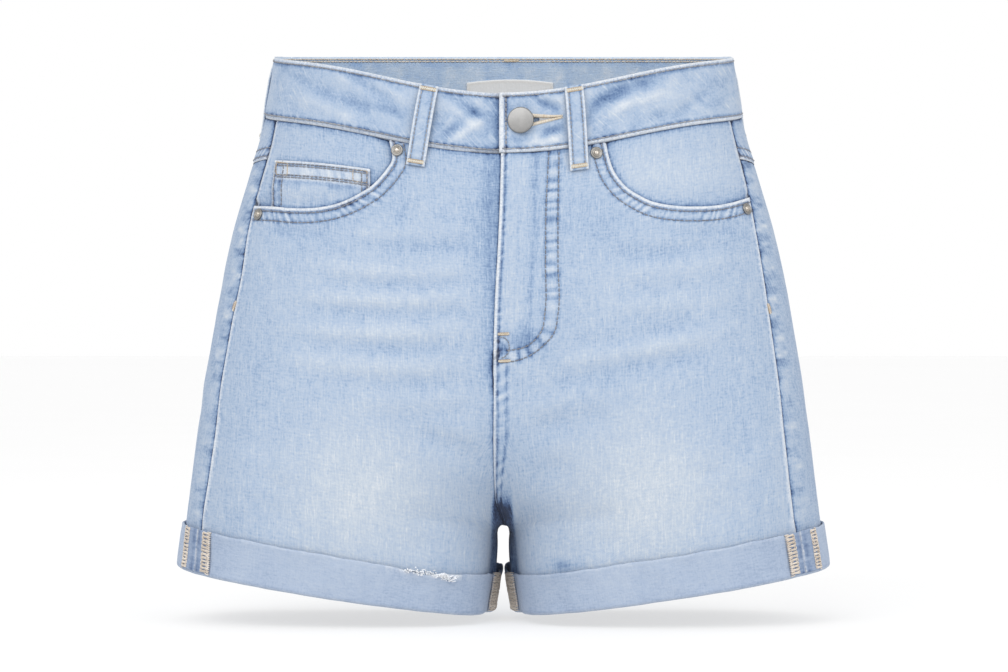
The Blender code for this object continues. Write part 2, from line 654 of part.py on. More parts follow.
def facing(side):
    """The hip piece behind a pocket mouth; it runs on a little way under the front panel."""
    line = mouth_line(side)
    across, down = FACING_LAP
    moved = [(max(q - across, 0.0), v - down) for q, v in line]
    moved[0] = (moved[0][0], -BAND_HEIGHT - 26 * MM)
    moved.append((1.0, moved[-1][1]))
    columns = sorted({round(q, 8) for q in (*(c for c in FRONT_COLUMNS if c > moved[0][0]), moved[0][0])})
    found = cells(columns, ROWS, lambda q: -BAND_HEIGHT - SEAM_GAP, lambda q: line_value(moved, q))
    drop = (CLOTH + SEAM_GAP) * (2 if side < 0 else 1)
    name = "pocket_facing_left" if side > 0 else "pocket_facing_right"
    return slab(
        name, [[(side, q, v) for q, v in p] for p in found], lambda s, q, v: -drop, lambda s, q, v: -drop - CLOTH, "denim",
        apart=SEAM_GAP / 2, remap=front_edges,
    )


def coin_pocket():
    """On the right facing, between it and the front panel."""
    corners = [FACETS.locate(-1, x * MM, z * MM) for x, z in COIN_TOP]
    inner, outer = corners[0][0], corners[1][0]

    def top(q):
        return line_value(corners, q)

    columns = [inner, *(q for q in FRONT_COLUMNS if inner + 0.01 < q < outer - 0.01), outer]
    found = cells(columns, ROWS, top, lambda q: top(q) - COIN_DEPTH)
    drop = CLOTH + SEAM_GAP
    return slab(
        "coin_pocket", [[(-1, q, v) for q, v in p] for p in found], lambda s, q, v: -drop, lambda s, q, v: -drop - CLOTH, "denim",
        apart=SEAM_GAP / 2,
    )


def yoke_line(q):
    return YOKE_SIDE + (YOKE_CENTRE - YOKE_SIDE) * (q - 1)


def back_panel(side):
    found = cells(BACK_COLUMNS, ROWS, lambda q: yoke_line(q) - SEAM_GAP / 2, lambda q: PANEL_END)
    name = "back_panel_left" if side > 0 else "back_panel_right"
    return slab(
        name, [[(side, q, v) for q, v in p] for p in found], lambda s, q, v: 0.0, lambda s, q, v: -CLOTH, "denim",
        apart=SEAM_GAP / 2, remap=back_edges,
    )


def back_yoke(side):
    found = cells(BACK_COLUMNS, ROWS, lambda q: -BAND_HEIGHT - SEAM_GAP, lambda q: yoke_line(q) + SEAM_GAP / 2)
    name = "back_yoke_left" if side > 0 else "back_yoke_right"
    return slab(
        name, [[(side, q, v) for q, v in p] for p in found], lambda s, q, v: 0.0, lambda s, q, v: -CLOTH, "denim",
        apart=SEAM_GAP / 2, remap=back_edges,
    )


def button_place():
    v = -BAND_HEIGHT * BUTTON_SHARE
    return FACETS.across(1, BUTTON_X, v), v


def waistband():
    """One strip from the under end at the centre front round the back to the end that laps over it."""
    v_hole = -BAND_HEIGHT * BUTTON_SHARE
    q_marks = [FACETS.across(1, BUTTON_X + d, v_hole) for d in (HOLE_START, HOLE_SHANK, HOLE_END)]
    over = sorted({round(q, 8) for q in (-BAND_OVER, *FRONT_COLUMNS, *BACK_COLUMNS, *q_marks)})
    over = [q for q in over if q in [round(m, 8) for m in q_marks] or all(abs(q - m) > 0.012 for m in q_marks)]
    under = sorted({round(q, 8) for q in (-BAND_UNDER, -0.12, -0.055, *FRONT_COLUMNS, *BACK_COLUMNS)})
    marks = [round(m, 8) for m in q_marks]

    def half(q):
        """Half height of the buttonhole, wide round the shank and narrowing to its end."""
        t = between(q, marks[1], marks[2])
        return HOLE_HALF["shank"] if t == 0 else HOLE_HALF["shank"] * (1 - t) ** 1.5 * 0.55 + HOLE_HALF["end"]

    found = []
    for side, columns in ((1, over), (-1, under)):
        for qa, qb in zip(columns, columns[1:]):
            inside = side > 0 and marks[0] - 1e-6 <= qa and qb <= marks[2] + 1e-6
            rows = [[0.0, v_hole + half(q), v_hole - half(q), -BAND_HEIGHT] for q in (qa, qb)]
            if inside:  # above and below the buttonhole
                for k in (0, 2):
                    found.append([(side, qa, rows[0][k]), (side, qa, rows[0][k + 1]), (side, qb, rows[1][k + 1]), (side, qb, rows[1][k])])
                continue
            cell = [(side, qa, 0.0), (side, qa, -BAND_HEIGHT), (side, qb, -BAND_HEIGHT), (side, qb, 0.0)]
            if side > 0 and abs(qb - marks[0]) < 1e-6:
                cell = cell[:3] + [(side, qb, rows[1][2]), (side, qb, rows[1][1])] + cell[3:]
            elif side > 0 and abs(qa - marks[2]) < 1e-6:
                cell = [cell[2], cell[3], cell[0], (side, qa, rows[0][1]), (side, qa, rows[0][2]), cell[1]]
            found.append(cell)

    def drop(side, q):
        return BAND_DROP * smooth(between(q, 0.17, 0.03)) if side < 0 else 0.0

    return slab(
        "waistband", found, lambda s, q, v: BAND_OUT - drop(s, q), lambda s, q, v: BAND_IN - drop(s, q), "denim"
    )


def cuff(side):
    """The turned-up hem: a ring whose section is the outer wall and the fold under the end of the leg."""
    columns = [*FRONT_COLUMNS, *BACK_COLUMNS[1:-1]]
    points, rings = [], []
    for q in columns:
        ring = []
        for level, up in CUFF_SECTION:
            ring.append(len(points))
            points.append(FACETS.place(side, q, HEM + up * MM, level * MM))
        rings.append(ring)
    faces, sides = [], len(CUFF_SECTION)
    for k, one in enumerate(rings):
        two = rings[(k + 1) % len(rings)]
        for m in range(sides):
            a, b, c, d = one[m], one[(m + 1) % sides], two[(m + 1) % sides], two[m]
            faces += [(a, b, c), (a, c, d)]
    return solid("cuff_left" if side > 0 else "cuff_right", points, faces, "denim_reverse")


ALLOWANCES = (  # place, columns
    ("side_front", (0.945, 1.0)),
    ("side_back", (1.0, 1.045)),
    ("inseam_front", (0.0, 0.055)),
    ("inseam_back", (1.95, 2.0)),
)


def allowances(side):
    """Seam allowances pressed open on the outside of the cuff."""
    top, low = CUFF_TOP - 0.4 * MM, HEM + 2.4 * MM

    def cuff_face(v):
        return CUFF_OUT_TOP + (CUFF_OUT_FOLD - CUFF_OUT_TOP) * between(v, CUFF_TOP, HEM + 2.0 * MM)

    for place, (qa, qb) in ALLOWANCES:
        found = cells([qa, qb], ROWS, lambda q: top, lambda q: low)

        def remap(s, q, v):
            g = 1.5 * gap_in_q(s, "front" if q <= 1 else "back", v)
            return s, min(max(q, qa + (g if qa in (0.0, 1.0) else 0)), qb - (g if qb in (1.0, 2.0) else 0)), v

        slab(
            f"cuff_allowance_{place}_{'left' if side > 0 else 'right'}", [[(side, q, v) for q, v in p] for p in found],
            lambda s, q, v: cuff_face(v) + SEAM_GAP + 0.9 * MM, lambda s, q, v: cuff_face(v) + SEAM_GAP, "overlock", remap=remap,
        )


def belt_loop(name, side, top, bottom, length, by):
    stations = []
    for down, off in LOOP_RISE:
        share = down * MM / (LOOP_RISE[-1][0] * MM)
        v = -share * length
        at = top + (bottom - top) * share
        q = FACETS.across(side, at, v) if by == "x" else at
        width = LOOP_WIDTH / 2 / FORM.span(side, "front" if q < 1 else "back", v)
        stations.append([(q + k * width, v, off * MM) for k in (-1, 0, 1)])
    points = []
    for thick in (LOOP_THICK, 0.0):
        for row in stations:
            middle = FACETS.place(side, row[1][0], row[1][1], row[1][2] + thick)
            for q, v, off in row:
                p = FACETS.place(side, q, v, off + thick)
                points.append(p)
    rows, half = len(stations), len(stations) * 3
    faces = []
    for i in range(rows - 1):
        for j in range(2):
            a, b, c, d = i * 3 + j, (i + 1) * 3 + j, (i + 1) * 3 + j + 1, i * 3 + j + 1
            faces += [(a, b, c), (a, c, d), (c + half, b + half, a + half), (d + half, c + half, a + half)]
    border = [j for j in range(3)] + [i * 3 + 2 for i in range(1, rows)] + [(rows - 1) * 3 + 1, (rows - 1) * 3]
    border += [i * 3 for i in range(rows - 2, 0, -1)]
    for a, b in zip(border, border[1:] + border[:1]):
        faces += [(a, b, b + half), (a, b + half, a + half)]
    return solid(name, points, faces, "denim")


def inner_label():
    reach = LABEL_WIDTH / 2 / FORM.span(1, "back", LABEL_TOP)
    columns = [2 - reach, 1.90, 1.95, 2.0]
    found = []
    for side in (1, -1):
        found += [[(side, q, v) for q, v in p] for p in cells(columns, ROWS, lambda q: LABEL_TOP, lambda q: LABEL_BOTTOM)]
    return slab("inner_label", found, lambda s, q, v: LABEL_LEVELS[0], lambda s, q, v: LABEL_LEVELS[1], "label")


def metal():
    q, v = button_place()
    p, n = FACETS.read(1, q, v)
    turned("waist_button", BUTTON_PROFILE, p, n, 20, "metal")
    for name, side, x, z in RIVETS:
        q, v = FACETS.locate(side, x * MM, z * MM)
        p, n = FACETS.read(side, q, v)
        turned(name, RIVET_PROFILE, p + np.array([side * SEAM_GAP / 2, 0, 0]), n, 12, "metal")


def main():
    for old in list(bpy.data.objects):
        bpy.data.objects.remove(old, do_unlink=True)
    for side in (-1, 1):
        front_panel(side)
        facing(side)
        back_panel(side)
        back_yoke(side)
        cuff(side)
        allowances(side)
    coin_pocket()
    waistband()
    for loop in LOOPS:
        belt_loop(*loop)
    inner_label()
    metal()


main()
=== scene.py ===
"""Looks of the denim shorts: fine cloth shells, threads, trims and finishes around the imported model.

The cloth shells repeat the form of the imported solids: the same sections, the same pieces and the same levels.  A place on the
form is (side, q, v): side +1 is the wearer's left, q runs 0 centre front .. 1 side seam .. 2 centre back, v is the height of the
section at the side.  A level is a distance along the outward normal, 0 on the outer face of the leg panels.  Places taken from
the photograph's frame of 1008 x 672 are named px, py.
"""

import math

import bpy
import numpy as np
from mathutils.geometry import delaunay_2d_cdt
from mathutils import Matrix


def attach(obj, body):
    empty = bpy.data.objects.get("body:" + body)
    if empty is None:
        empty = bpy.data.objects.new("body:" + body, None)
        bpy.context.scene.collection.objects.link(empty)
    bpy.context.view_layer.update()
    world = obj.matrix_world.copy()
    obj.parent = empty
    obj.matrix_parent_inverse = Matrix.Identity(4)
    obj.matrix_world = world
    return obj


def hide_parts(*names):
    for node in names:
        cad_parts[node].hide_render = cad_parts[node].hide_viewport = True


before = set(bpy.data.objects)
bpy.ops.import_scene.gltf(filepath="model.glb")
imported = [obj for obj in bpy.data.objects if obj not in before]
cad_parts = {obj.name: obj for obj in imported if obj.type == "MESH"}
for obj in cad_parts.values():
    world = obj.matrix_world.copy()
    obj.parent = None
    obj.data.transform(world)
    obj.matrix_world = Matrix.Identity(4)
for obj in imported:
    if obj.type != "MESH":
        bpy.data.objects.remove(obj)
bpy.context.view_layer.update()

MM = 0.001

# ------------------------------------------------------------------------------------------------------------- the camera
CAMERA = (0.0003, -2.3, -0.18693)
FOCAL_PX = 3433.0


def screen(p):
    """px, py of points in the camera's frame."""
    depth = p[..., 1] - CAMERA[1]
    return np.stack([504 + FOCAL_PX * (p[..., 0] - CAMERA[0]) / depth, 336 - FOCAL_PX * (p[..., 2] - CAMERA[2]) / depth], -1)


# --------------------------------------------------------------------------------------------------- sizes, as in the solids
CLOTH = 1.0 * MM
BAND_HEIGHT = 40.3 * MM
BAND_OUT, BAND_IN = 0.9 * MM, -1.7 * MM
HEM, CUFF_TOP, CROTCH_V = -339.5 * MM, -311.6 * MM, -285.7 * MM
SECTION_COLUMNS = ("v", "out", "mid", "front", "back", "square", "tilt", "dip", "rise", "seam_r", "seam_l", "shift")
SECTIONS = (
    (4.0, 152.0, 0.0, 74.6, 79.6, 2.02, 0.0, 29.0, 6.5, 8.5, 8.5, 1.0),
    (0.0, 152.8, 0.0, 75.0, 80.0, 2.02, 0.0, 29.0, 6.5, 8.5, 8.5, 1.0),
    (-12.0, 154.4, 0.0, 76.2, 81.6, 2.03, 0.0, 29.0, 6.5, 8.5, 8.5, 1.0),
    (-40.3, 159.4, 0.0, 80.0, 86.0, 2.05, 0.0, 28.0, 6.5, 8.5, 8.7, 1.0),
    (-56.0, 163.3, 0.0, 83.0, 91.0, 2.06, 0.0, 26.0, 6.0, 9.4, 9.1, 1.2),
    (-82.0, 170.7, 1.0, 87.0, 98.0, 2.10, 0.0, 22.0, 5.0, 9.8, 10.2, 1.8),
    (-116.0, 180.7, 5.0, 91.0, 105.0, 2.15, 0.4, 17.0, 4.0, 12.0, 14.0, 3.2),
    (-149.0, 188.0, 13.0, 94.0, 109.0, 2.20, 1.2, 11.0, 2.8, 14.8, 16.2, 4.8),
    (-183.0, 193.8, 27.0, 95.0, 110.0, 2.25, 2.6, 6.0, 1.6, 14.0, 17.4, 5.7),
    (-216.0, 199.4, 48.0, 94.0, 108.2, 2.30, 4.2, 2.0, 0.6, 14.0, 18.7, 6.0),
    (-250.0, 204.2, 76.5, 91.2, 103.0, 2.32, 5.9, 0.0, 0.0, 15.0, 20.2, 5.9),
    (-268.0, 206.4, 91.5, 89.0, 99.0, 2.33, 6.7, 0.0, 0.0, 14.6, 20.6, 5.2),
    (-285.7, 208.6, 102.0, 86.7, 94.6, 2.33, 7.3, 0.0, 0.0, 14.0, 21.0, 0.0),
    (-303.0, 210.9, 107.2, 84.3, 90.4, 2.33, 8.6, 0.4, 0.0, 13.4, 21.0, 0.0),
    (-311.6, 212.0, 108.8, 83.1, 88.4, 2.33, 9.3, 1.0, 0.0, 14.0, 20.4, 0.0),
    (-339.5, 215.2, 112.8, 79.5, 84.5, 2.33, 8.6, 1.2, 0.0, 15.2, 19.4, 0.0),
    (-345.0, 215.8, 113.4, 79.0, 84.0, 2.33, 8.5, 1.2, 0.0, 15.2, 19.4, 0.0),
)
CLEARANCE = (
    (-345.0, 10.4), (-339.5, 9.6), (-311.6, 5.0), (-303.0, 5.0), (-291.0, 5.0), (-288.0, 4.0), (-286.5, 2.2), (-285.7, 0.0),
)
FORK = {"front": (90.0 * MM, 2.2), "back": (112.0 * MM, 2.1)}
DIP_EVEN, DIP_POWER = 0.38, 5.5
SHIFT_REACH = 50.0 * MM
BACK_SHIFT, BACK_SHIFT_FROM, BACK_SHIFT_TO = 5.2 * MM, -216.0 * MM, -60.0 * MM
GAP_POWER = 5.0
RECESS, RECESS_WITHIN, RECESS_DEPTHS = 5.0 * MM, 26.0 * MM, (9.5 * MM, 46.0 * MM)
EVEN_FROM_TO = (-235.0 * MM, -300.0 * MM)
STRETCH_POWER = 7
LAP_REACH, LAP_FULL, LAP_END, LAP_LEVEL_END, LAP_DROP = 0.065, -165.0 * MM, -183.0 * MM, -200.0 * MM, 1.4 * MM
BAND_OVER, BAND_UNDER, BAND_DROP = 0.012, 0.150, 3.0 * MM
BUTTON_X, BUTTON_SHARE = 11.4 * MM, 0.47
MOUTHS = {  # x and z in mm, seen from the front, from the waistband outwards
    -1: (
        (74.6, -57.5), (72.6, -73.2), (76.2, -79.0), (80.6, -84.4), (86.4, -90.0), (93.6, -94.4), (101.0, -98.2),
        (109.6, -101.2), (119.2, -103.0), (129.5, -103.6), (140.0, -103.2), (150.4, -102.0), (161.0, -101.2), (171.0, -101.0),
    ),
    1: (
        (66.4, -59.8), (68.8, -72.0), (71.4, -79.4), (75.4, -85.6), (80.6, -91.0), (87.6, -95.4), (95.6, -99.2),
        (105.0, -101.4), (115.0, -102.4), (126.5, -102.4), (138.0, -101.6), (148.6, -99.6), (158.6, -96.6), (170.0, -94.2),
    ),
}
FACING_LAP = (0.060, 14.0 * MM)
COIN_TOP = ((86.6, -78.6), (150.1, -71.3))
COIN_DEPTH = 44.0 * MM
YOKE_SIDE, YOKE_CENTRE = -66.0 * MM, -108.0 * MM
CUFF_OUT_TOP, CUFF_OUT_FOLD = 2.5 * MM, 3.1 * MM
LOOP_WIDTH, LOOP_THICK = 12.4 * MM, 1.6 * MM
LOOP_RISE = ((0.2, 1.35), (3.5, 1.5), (9.0, 2.5), (18.0, 3.3), (29.0, 3.2), (38.0, 2.6), (44.0, 1.9), (50.0, 1.1), (56.0, 0.75))
LOOPS = (
    ("belt_loop_front_right", -1, 48.0 * MM, 57.0 * MM, 56.0 * MM, "x"),
    ("belt_loop_front_left", 1, 45.4 * MM, 49.0 * MM, 58.0 * MM, "x"),
    ("belt_loop_side_right", -1, 1.200, 1.200, 56.0 * MM, "q"),
    ("belt_loop_side_left", 1, 1.220, 1.220, 56.0 * MM, "q"),
    ("belt_loop_back", 1, 2.0, 2.0, 56.0 * MM, "q"),
)
LABEL_WIDTH, LABEL_TOP, LABEL_BOTTOM = 59.0 * MM, -17.5 * MM, -56.0 * MM
RIVETS = (
    ("rivet_right_inner", -1, 68.9, -66.6),
    ("rivet_right_outer", -1, 161.0, -107.0),
    ("rivet_left_inner", 1, 60.1, -68.4),
    ("rivet_left_outer", 1, 159.8, -103.4),
)


# ------------------------------------------------------------------------------------------------------------------- form
def slopes(x, y):
    h, d = np.diff(x), np.diff(y) / np.diff(x)
    m = np.zeros_like(y)
    for i in range(1, len(y) - 1):
        if d[i - 1] * d[i] > 0:
            w1, w2 = 2 * h[i] + h[i - 1], h[i] + 2 * h[i - 1]
            m[i] = (w1 + w2) / (w1 / d[i - 1] + w2 / d[i])
    m[0], m[-1] = d[0], d[-1]
    return m


def through(x, y, at):
    """The smooth curve through the points (x, y), x rising, read at `at`."""
    x, y, at = np.asarray(x, float), np.asarray(y, float), np.clip(at, x[0], x[-1])
    m = slopes(x, y)
    i = np.clip(np.searchsorted(x, at, side="right") - 1, 0, len(x) - 2)
    h = x[i + 1] - x[i]
    t = (at - x[i]) / h
    return (
        y[i] * (1 + 2 * t) * (1 - t) ** 2 + m[i] * h * t * (1 - t) ** 2
        + y[i + 1] * t * t * (3 - 2 * t) + m[i + 1] * h * t * t * (t - 1)
    )


def section_values(v):
    """The named values of the sections at the heights v, in metres and radians."""
    table = np.array(SECTIONS[::-1], float)
    out = {}
    for k, name in enumerate(SECTION_COLUMNS):
        scale = {"square": 1.0, "tilt": math.pi / 180}.get(name, MM)
        out[name] = through(table[:, 0] * MM, table[:, k] * scale, v)
    out["v"] = v
    return out


def centre_height(s):
    return s["v"] - s["dip"] - np.tan(s["tilt"]) * s["out"]


CROTCH_Z = float(centre_height(section_values(CROTCH_V)))


def fork_ratio(s, part):
    height, power = FORK[part]
    h = min(max((centre_height(s) - CROTCH_Z) / height, 0.0), 1.0)
    depth = (1 - (1 - h) ** power) ** (1 / power)
    return 1.0 if s["v"] <= CROTCH_V else max(1 - depth ** s["square"], 0.0) ** (1 / s["square"])


def half_section(side, s, part, samples=170):
    v, deep = s["v"], s[part]
    ratio = max(fork_ratio(s, part), 0.03)
    inner = s["mid"] / ratio
    turn = math.pi - math.acos(ratio ** (s["square"] / 2))
    angles = np.concatenate([np.linspace(turn, math.pi / 2, samples), np.linspace(math.pi / 2, 0, samples)[1:]])
    c, n = np.cos(angles), 2 / s["square"]
    x = s["mid"] + np.where(c > 0, (s["out"] - s["mid"]), inner) * np.sign(c) * np.abs(c) ** n
    y = deep * np.abs(np.sin(angles)) ** n
    x = np.maximum(x, 0.0)
    if v < CROTCH_V:
        gap = float(np.interp(v, [r[0] * MM for r in CLEARANCE], [r[1] * MM for r in CLEARANCE]))
        x = x + gap * np.clip(1 - x / s["mid"], 0, 1) ** GAP_POWER
    if part == "front" and v < CROTCH_V:
        t = min((CROTCH_V - v) / RECESS_WITHIN, 1.0)
        near_seam = np.clip(-3 * c, 0, 1) * (1 - np.exp(-((y / RECESS_DEPTHS[0]) ** 2))) * np.exp(-((y / RECESS_DEPTHS[1]) ** 2))
        x = x + RECESS * t * t * (3 - 2 * t) * near_seam
    if part == "front":
        lift = -s["dip"] * (DIP_EVEN * y / deep + (1 - DIP_EVEN) * (y / deep) ** DIP_POWER)
        y = -y
    else:
        lift = s["rise"] * y / deep
    z = v + lift - math.tan(s["tilt"]) * (s["out"] - x)
    if part == "front":
        x = x - side * s["shift"] * np.exp(-((x / SHIFT_REACH) ** 2))
    else:
        t = min(max((v - BACK_SHIFT_FROM) / (BACK_SHIFT_TO - BACK_SHIFT_FROM), 0.0), 1.0)
        x = x + side * BACK_SHIFT * t * t * (3 - 2 * t) * np.exp(-((x / SHIFT_REACH) ** 2))
    return np.stack([x * side, y, z], 1)


def distances(points):
    return np.concatenate([[0], np.cumsum(np.linalg.norm(np.diff(points, axis=0), axis=1))])


def by_length(points, count, even, from_seam):
    along = distances(points)
    share = np.linspace(0, 1, count) if from_seam else np.linspace(1, 0, count)
    away = share * even + (along[-1] - even) * share**STRETCH_POWER
    at = away if from_seam else along[-1] - away
    return np.stack([np.interp(at, along, points[:, k]) for k in range(3)], 1)


class Form:
    """The whole surface as a fine grid of points and normals for each side, read for many places at once."""

    COUNT = 241

    def __init__(self):
        upper = [4.0 * MM - k * 2.0 * MM for k in range(int((4.0 * MM - CROTCH_V - 30 * MM) / (2 * MM)))]
        near = [CROTCH_V + 34 * MM * (1 - k / 60) ** 2 for k in range(61)]
        below = [CROTCH_V - 8 * MM * (k / 16) ** 1.5 for k in range(1, 17)]
        rest = list(np.linspace(CROTCH_V - 9.5 * MM, -346 * MM, 34))
        rows = sorted({round(v, 7) for v in upper + near + below + rest + [CROTCH_V]}, reverse=True)
        self.rows = np.array([v for i, v in enumerate(rows) if i == 0 or rows[i - 1] - v > 1e-5])
        values = section_values(self.rows)
        grids, normals, self.even = [], [], {}
        for side in (1, -1):
            lines = {"front": [], "back": []}
            for k_row in range(len(self.rows)):
                s = {k: float(x[k_row]) for k, x in values.items()}
                front, back = half_section(side, s, "front"), half_section(side, s, "back")
                seam_x = s["out"] - s["seam_l" if side > 0 else "seam_r"]
                x = np.abs(front[:, 0])
                k = int(np.argmax((x >= seam_x) & (np.arange(len(x)) > len(x) // 2)))
                t = (seam_x - x[k - 1]) / (x[k] - x[k - 1])
                seam = front[k - 1] + t * (front[k] - front[k - 1])
                lines["front"].append(np.vstack([front[:k], seam]))
                lines["back"].append(np.vstack([seam, front[k:], back[::-1][1:]]))
            halves = {}
            for name, found in lines.items():
                length = np.array([distances(line)[-1] for line in found])
                marks = [int(np.argmin(abs(self.rows - v))) for v in EVEN_FROM_TO]
                even = length.copy()
                inside = slice(marks[0], marks[1] + 1)
                even[inside] = np.interp(-self.rows[inside], [-self.rows[m] for m in marks], [length[m] for m in marks])
                halves[name] = [by_length(line, self.COUNT, e, name == "back") for line, e in zip(found, even)]
                self.even[side, name] = even
            grid = np.concatenate([np.array(halves["front"]), np.array(halves["back"])[:, 1:]], 1)
            normal = np.cross(np.gradient(grid, self.rows, axis=0), np.gradient(grid, axis=1)) * -side
            normal /= np.maximum(np.linalg.norm(normal, axis=2, keepdims=True), 1e-12)
            grids.append(grid)
            normals.append(normal)
        self.grid, self.normal = np.array(grids), np.array(normals)

    def span(self, side, part, v):
        """Even length of the section's front or back at the heights v, metres; side may be an array."""
        one = np.interp(-np.asarray(v), -self.rows, self.even[1, part])
        two = np.interp(-np.asarray(v), -self.rows, self.even[-1, part])
        return np.where(np.asarray(side) > 0, one, two)

    def read(self, side, q, v):
        side, q, v = np.broadcast_arrays(np.asarray(side, float), np.asarray(q, float), np.asarray(v, float))
        over = (q < 0) | (q > 2)
        side = np.where(over, -side, side)
        q = np.where(q < 0, -q, np.where(q > 2, 4 - q, q))
        i = np.interp(-v, -self.rows, np.arange(len(self.rows)))
        j = q * (self.COUNT - 1)
        k = (side < 0).astype(int)
        i0 = np.clip(i.astype(int), 0, self.grid.shape[1] - 2)
        j0 = np.clip(j.astype(int), 0, self.grid.shape[2] - 2)
        a, b = (i - i0)[..., None], (j - j0)[..., None]
        out = []
        for field in (self.grid, self.normal):
            out.append(
                field[k, i0, j0] * (1 - a) * (1 - b) + field[k, i0, j0 + 1] * (1 - a) * b
                + field[k, i0 + 1, j0] * a * (1 - b) + field[k, i0 + 1, j0 + 1] * a * b
            )
        return out[0], out[1] / np.maximum(np.linalg.norm(out[1], axis=-1, keepdims=True), 1e-9)

    def place(self, side, q, v, level):
        p, n = self.read(side, q, v)
        return p + n * np.asarray(level)[..., None]

    def solve(self, side, wanted, measure, q=0.5, v=-0.15, low=-0.1, high=1.0):
        """(q, v) of the places where measure(points) is `wanted`, two numbers each, in metres."""
        wanted = np.atleast_2d(wanted).astype(float)
        q, v = np.full(len(wanted), q), np.full(len(wanted), v)
        for _ in range(30):
            here = measure(self.read(side, q, v)[0])
            off = wanted - here
            along_q = (measure(self.read(side, q + 1e-3, v)[0]) - here) / 1e-3
            along_v = (measure(self.read(side, q, v + 2e-4)[0]) - here) / 2e-4
            det = along_q[:, 0] * along_v[:, 1] - along_q[:, 1] * along_v[:, 0]
            dq = (off[:, 0] * along_v[:, 1] - off[:, 1] * along_v[:, 0]) / det
            dv = (along_q[:, 0] * off[:, 1] - along_q[:, 1] * off[:, 0]) / det
            q = np.clip(q + np.clip(dq, -0.12, 0.12), low, high)
            v = np.clip(v + np.clip(dv, -0.03, 0.03), -0.345, 0.004)
        return q, v

    def locate(self, side, x, z):
        """(q, v) of points at x from the centre plane and height z, seen from the front, in mm."""
        wanted = np.stack([np.asarray(x, float) * MM, np.asarray(z, float) * MM], -1)
        return self.solve(side, wanted, lambda p: np.stack([p[..., 0] * side, p[..., 2]], -1))

    def seen(self, side, px, py):
        """(q, v) of places of the photograph's frame."""
        wanted = np.stack([np.asarray(px, float), np.asarray(py, float)], -1) / 1500
        return self.solve(side, wanted, lambda p: screen(p) / 1500)

    def across(self, side, x, v):
        x, v = np.broadcast_arrays(np.asarray(x, float), np.asarray(v, float))
        low, high = np.zeros(x.shape), np.ones(x.shape)
        for _ in range(40):
            q = (low + high) / 2
            less = side * self.read(side, q, v)[0][..., 0] < x
            low, high = np.where(less, q, low), np.where(less, high, q)
        return q


FORM = Form()


# ------------------------------------------------------------------------------------------------------------ small tools
def smooth(t):
    t = np.clip(t, 0.0, 1.0)
    return t * t * (3 - 2 * t)


def between(value, start, end):
    return np.clip((value - start) / (end - start), 0.0, 1.0)


def bell(x, width):
    return np.exp(-((x / width) ** 2))


def resample(line, step):
    """A polyline's points about `step` apart."""
    line = np.asarray(line, float)
    along = distances(line)
    n = max(int(round(along[-1] / step)), 1) + 1
    at = np.linspace(0, along[-1], n)
    return np.stack([np.interp(at, along, line[:, k]) for k in range(line.shape[1])], 1)


def curve(points, step):
    """A smooth curve through a few points, its points about `step` apart."""
    points = np.asarray(points, float)
    along = distances(points)
    at = np.linspace(0, along[-1], max(int(along[-1] / step) * 3, 8))
    fine = np.stack([through_free(along, points[:, k], at) for k in range(points.shape[1])], 1)
    return resample(fine, step)


def through_free(x, y, at):
    """A smooth curve that may turn: tangents are taken from both neighbours."""
    m = np.gradient(y, x)
    i = np.clip(np.searchsorted(x, at, side="right") - 1, 0, len(x) - 2)
    h = x[i + 1] - x[i]
    t = (at - x[i]) / h
    return (
        y[i] * (1 + 2 * t) * (1 - t) ** 2 + m[i] * h * t * (1 - t) ** 2
        + y[i + 1] * t * t * (3 - 2 * t) + m[i + 1] * h * t * t * (t - 1)
    )


def near(points, line):
    """Distance of points to a polyline, the place along it, and the distance with its sign: + to the right of its direction."""
    line = np.asarray(line, float)
    a, d = line[:-1], np.diff(line, axis=0)
    size = np.maximum((d**2).sum(1), 1e-12)
    start = distances(line)[:-1]
    best = np.full(len(points), 1e9)
    along, sign = np.zeros(len(points)), np.ones(len(points))
    for k in range(len(a)):
        to = points - a[k]
        t = np.clip((to @ d[k]) / size[k], 0, 1)
        off = to - t[:, None] * d[k]
        dist = np.hypot(off[:, 0], off[:, 1])
        less = dist < best
        best = np.where(less, dist, best)
        along = np.where(less, start[k] + t * math.sqrt(size[k]), along)
        sign = np.where(less, np.where(to[:, 0] * d[k, 1] - to[:, 1] * d[k, 0] >= 0, 1, -1), sign)
    return best, along, best * sign


def wobble(x, seed, scale):
    """Uneven waves of about unit size along x, the same each run."""
    random = np.random.default_rng(seed)
    out = np.zeros_like(np.asarray(x, float))
    for k, size in enumerate((1.0, 0.7, 0.5, 0.35)):
        out = out + size * np.sin(np.asarray(x) / scale * (0.7 + 1.3 * k) * 2 * math.pi / 2.2 + random.uniform(0, 7))
    return out / 1.4


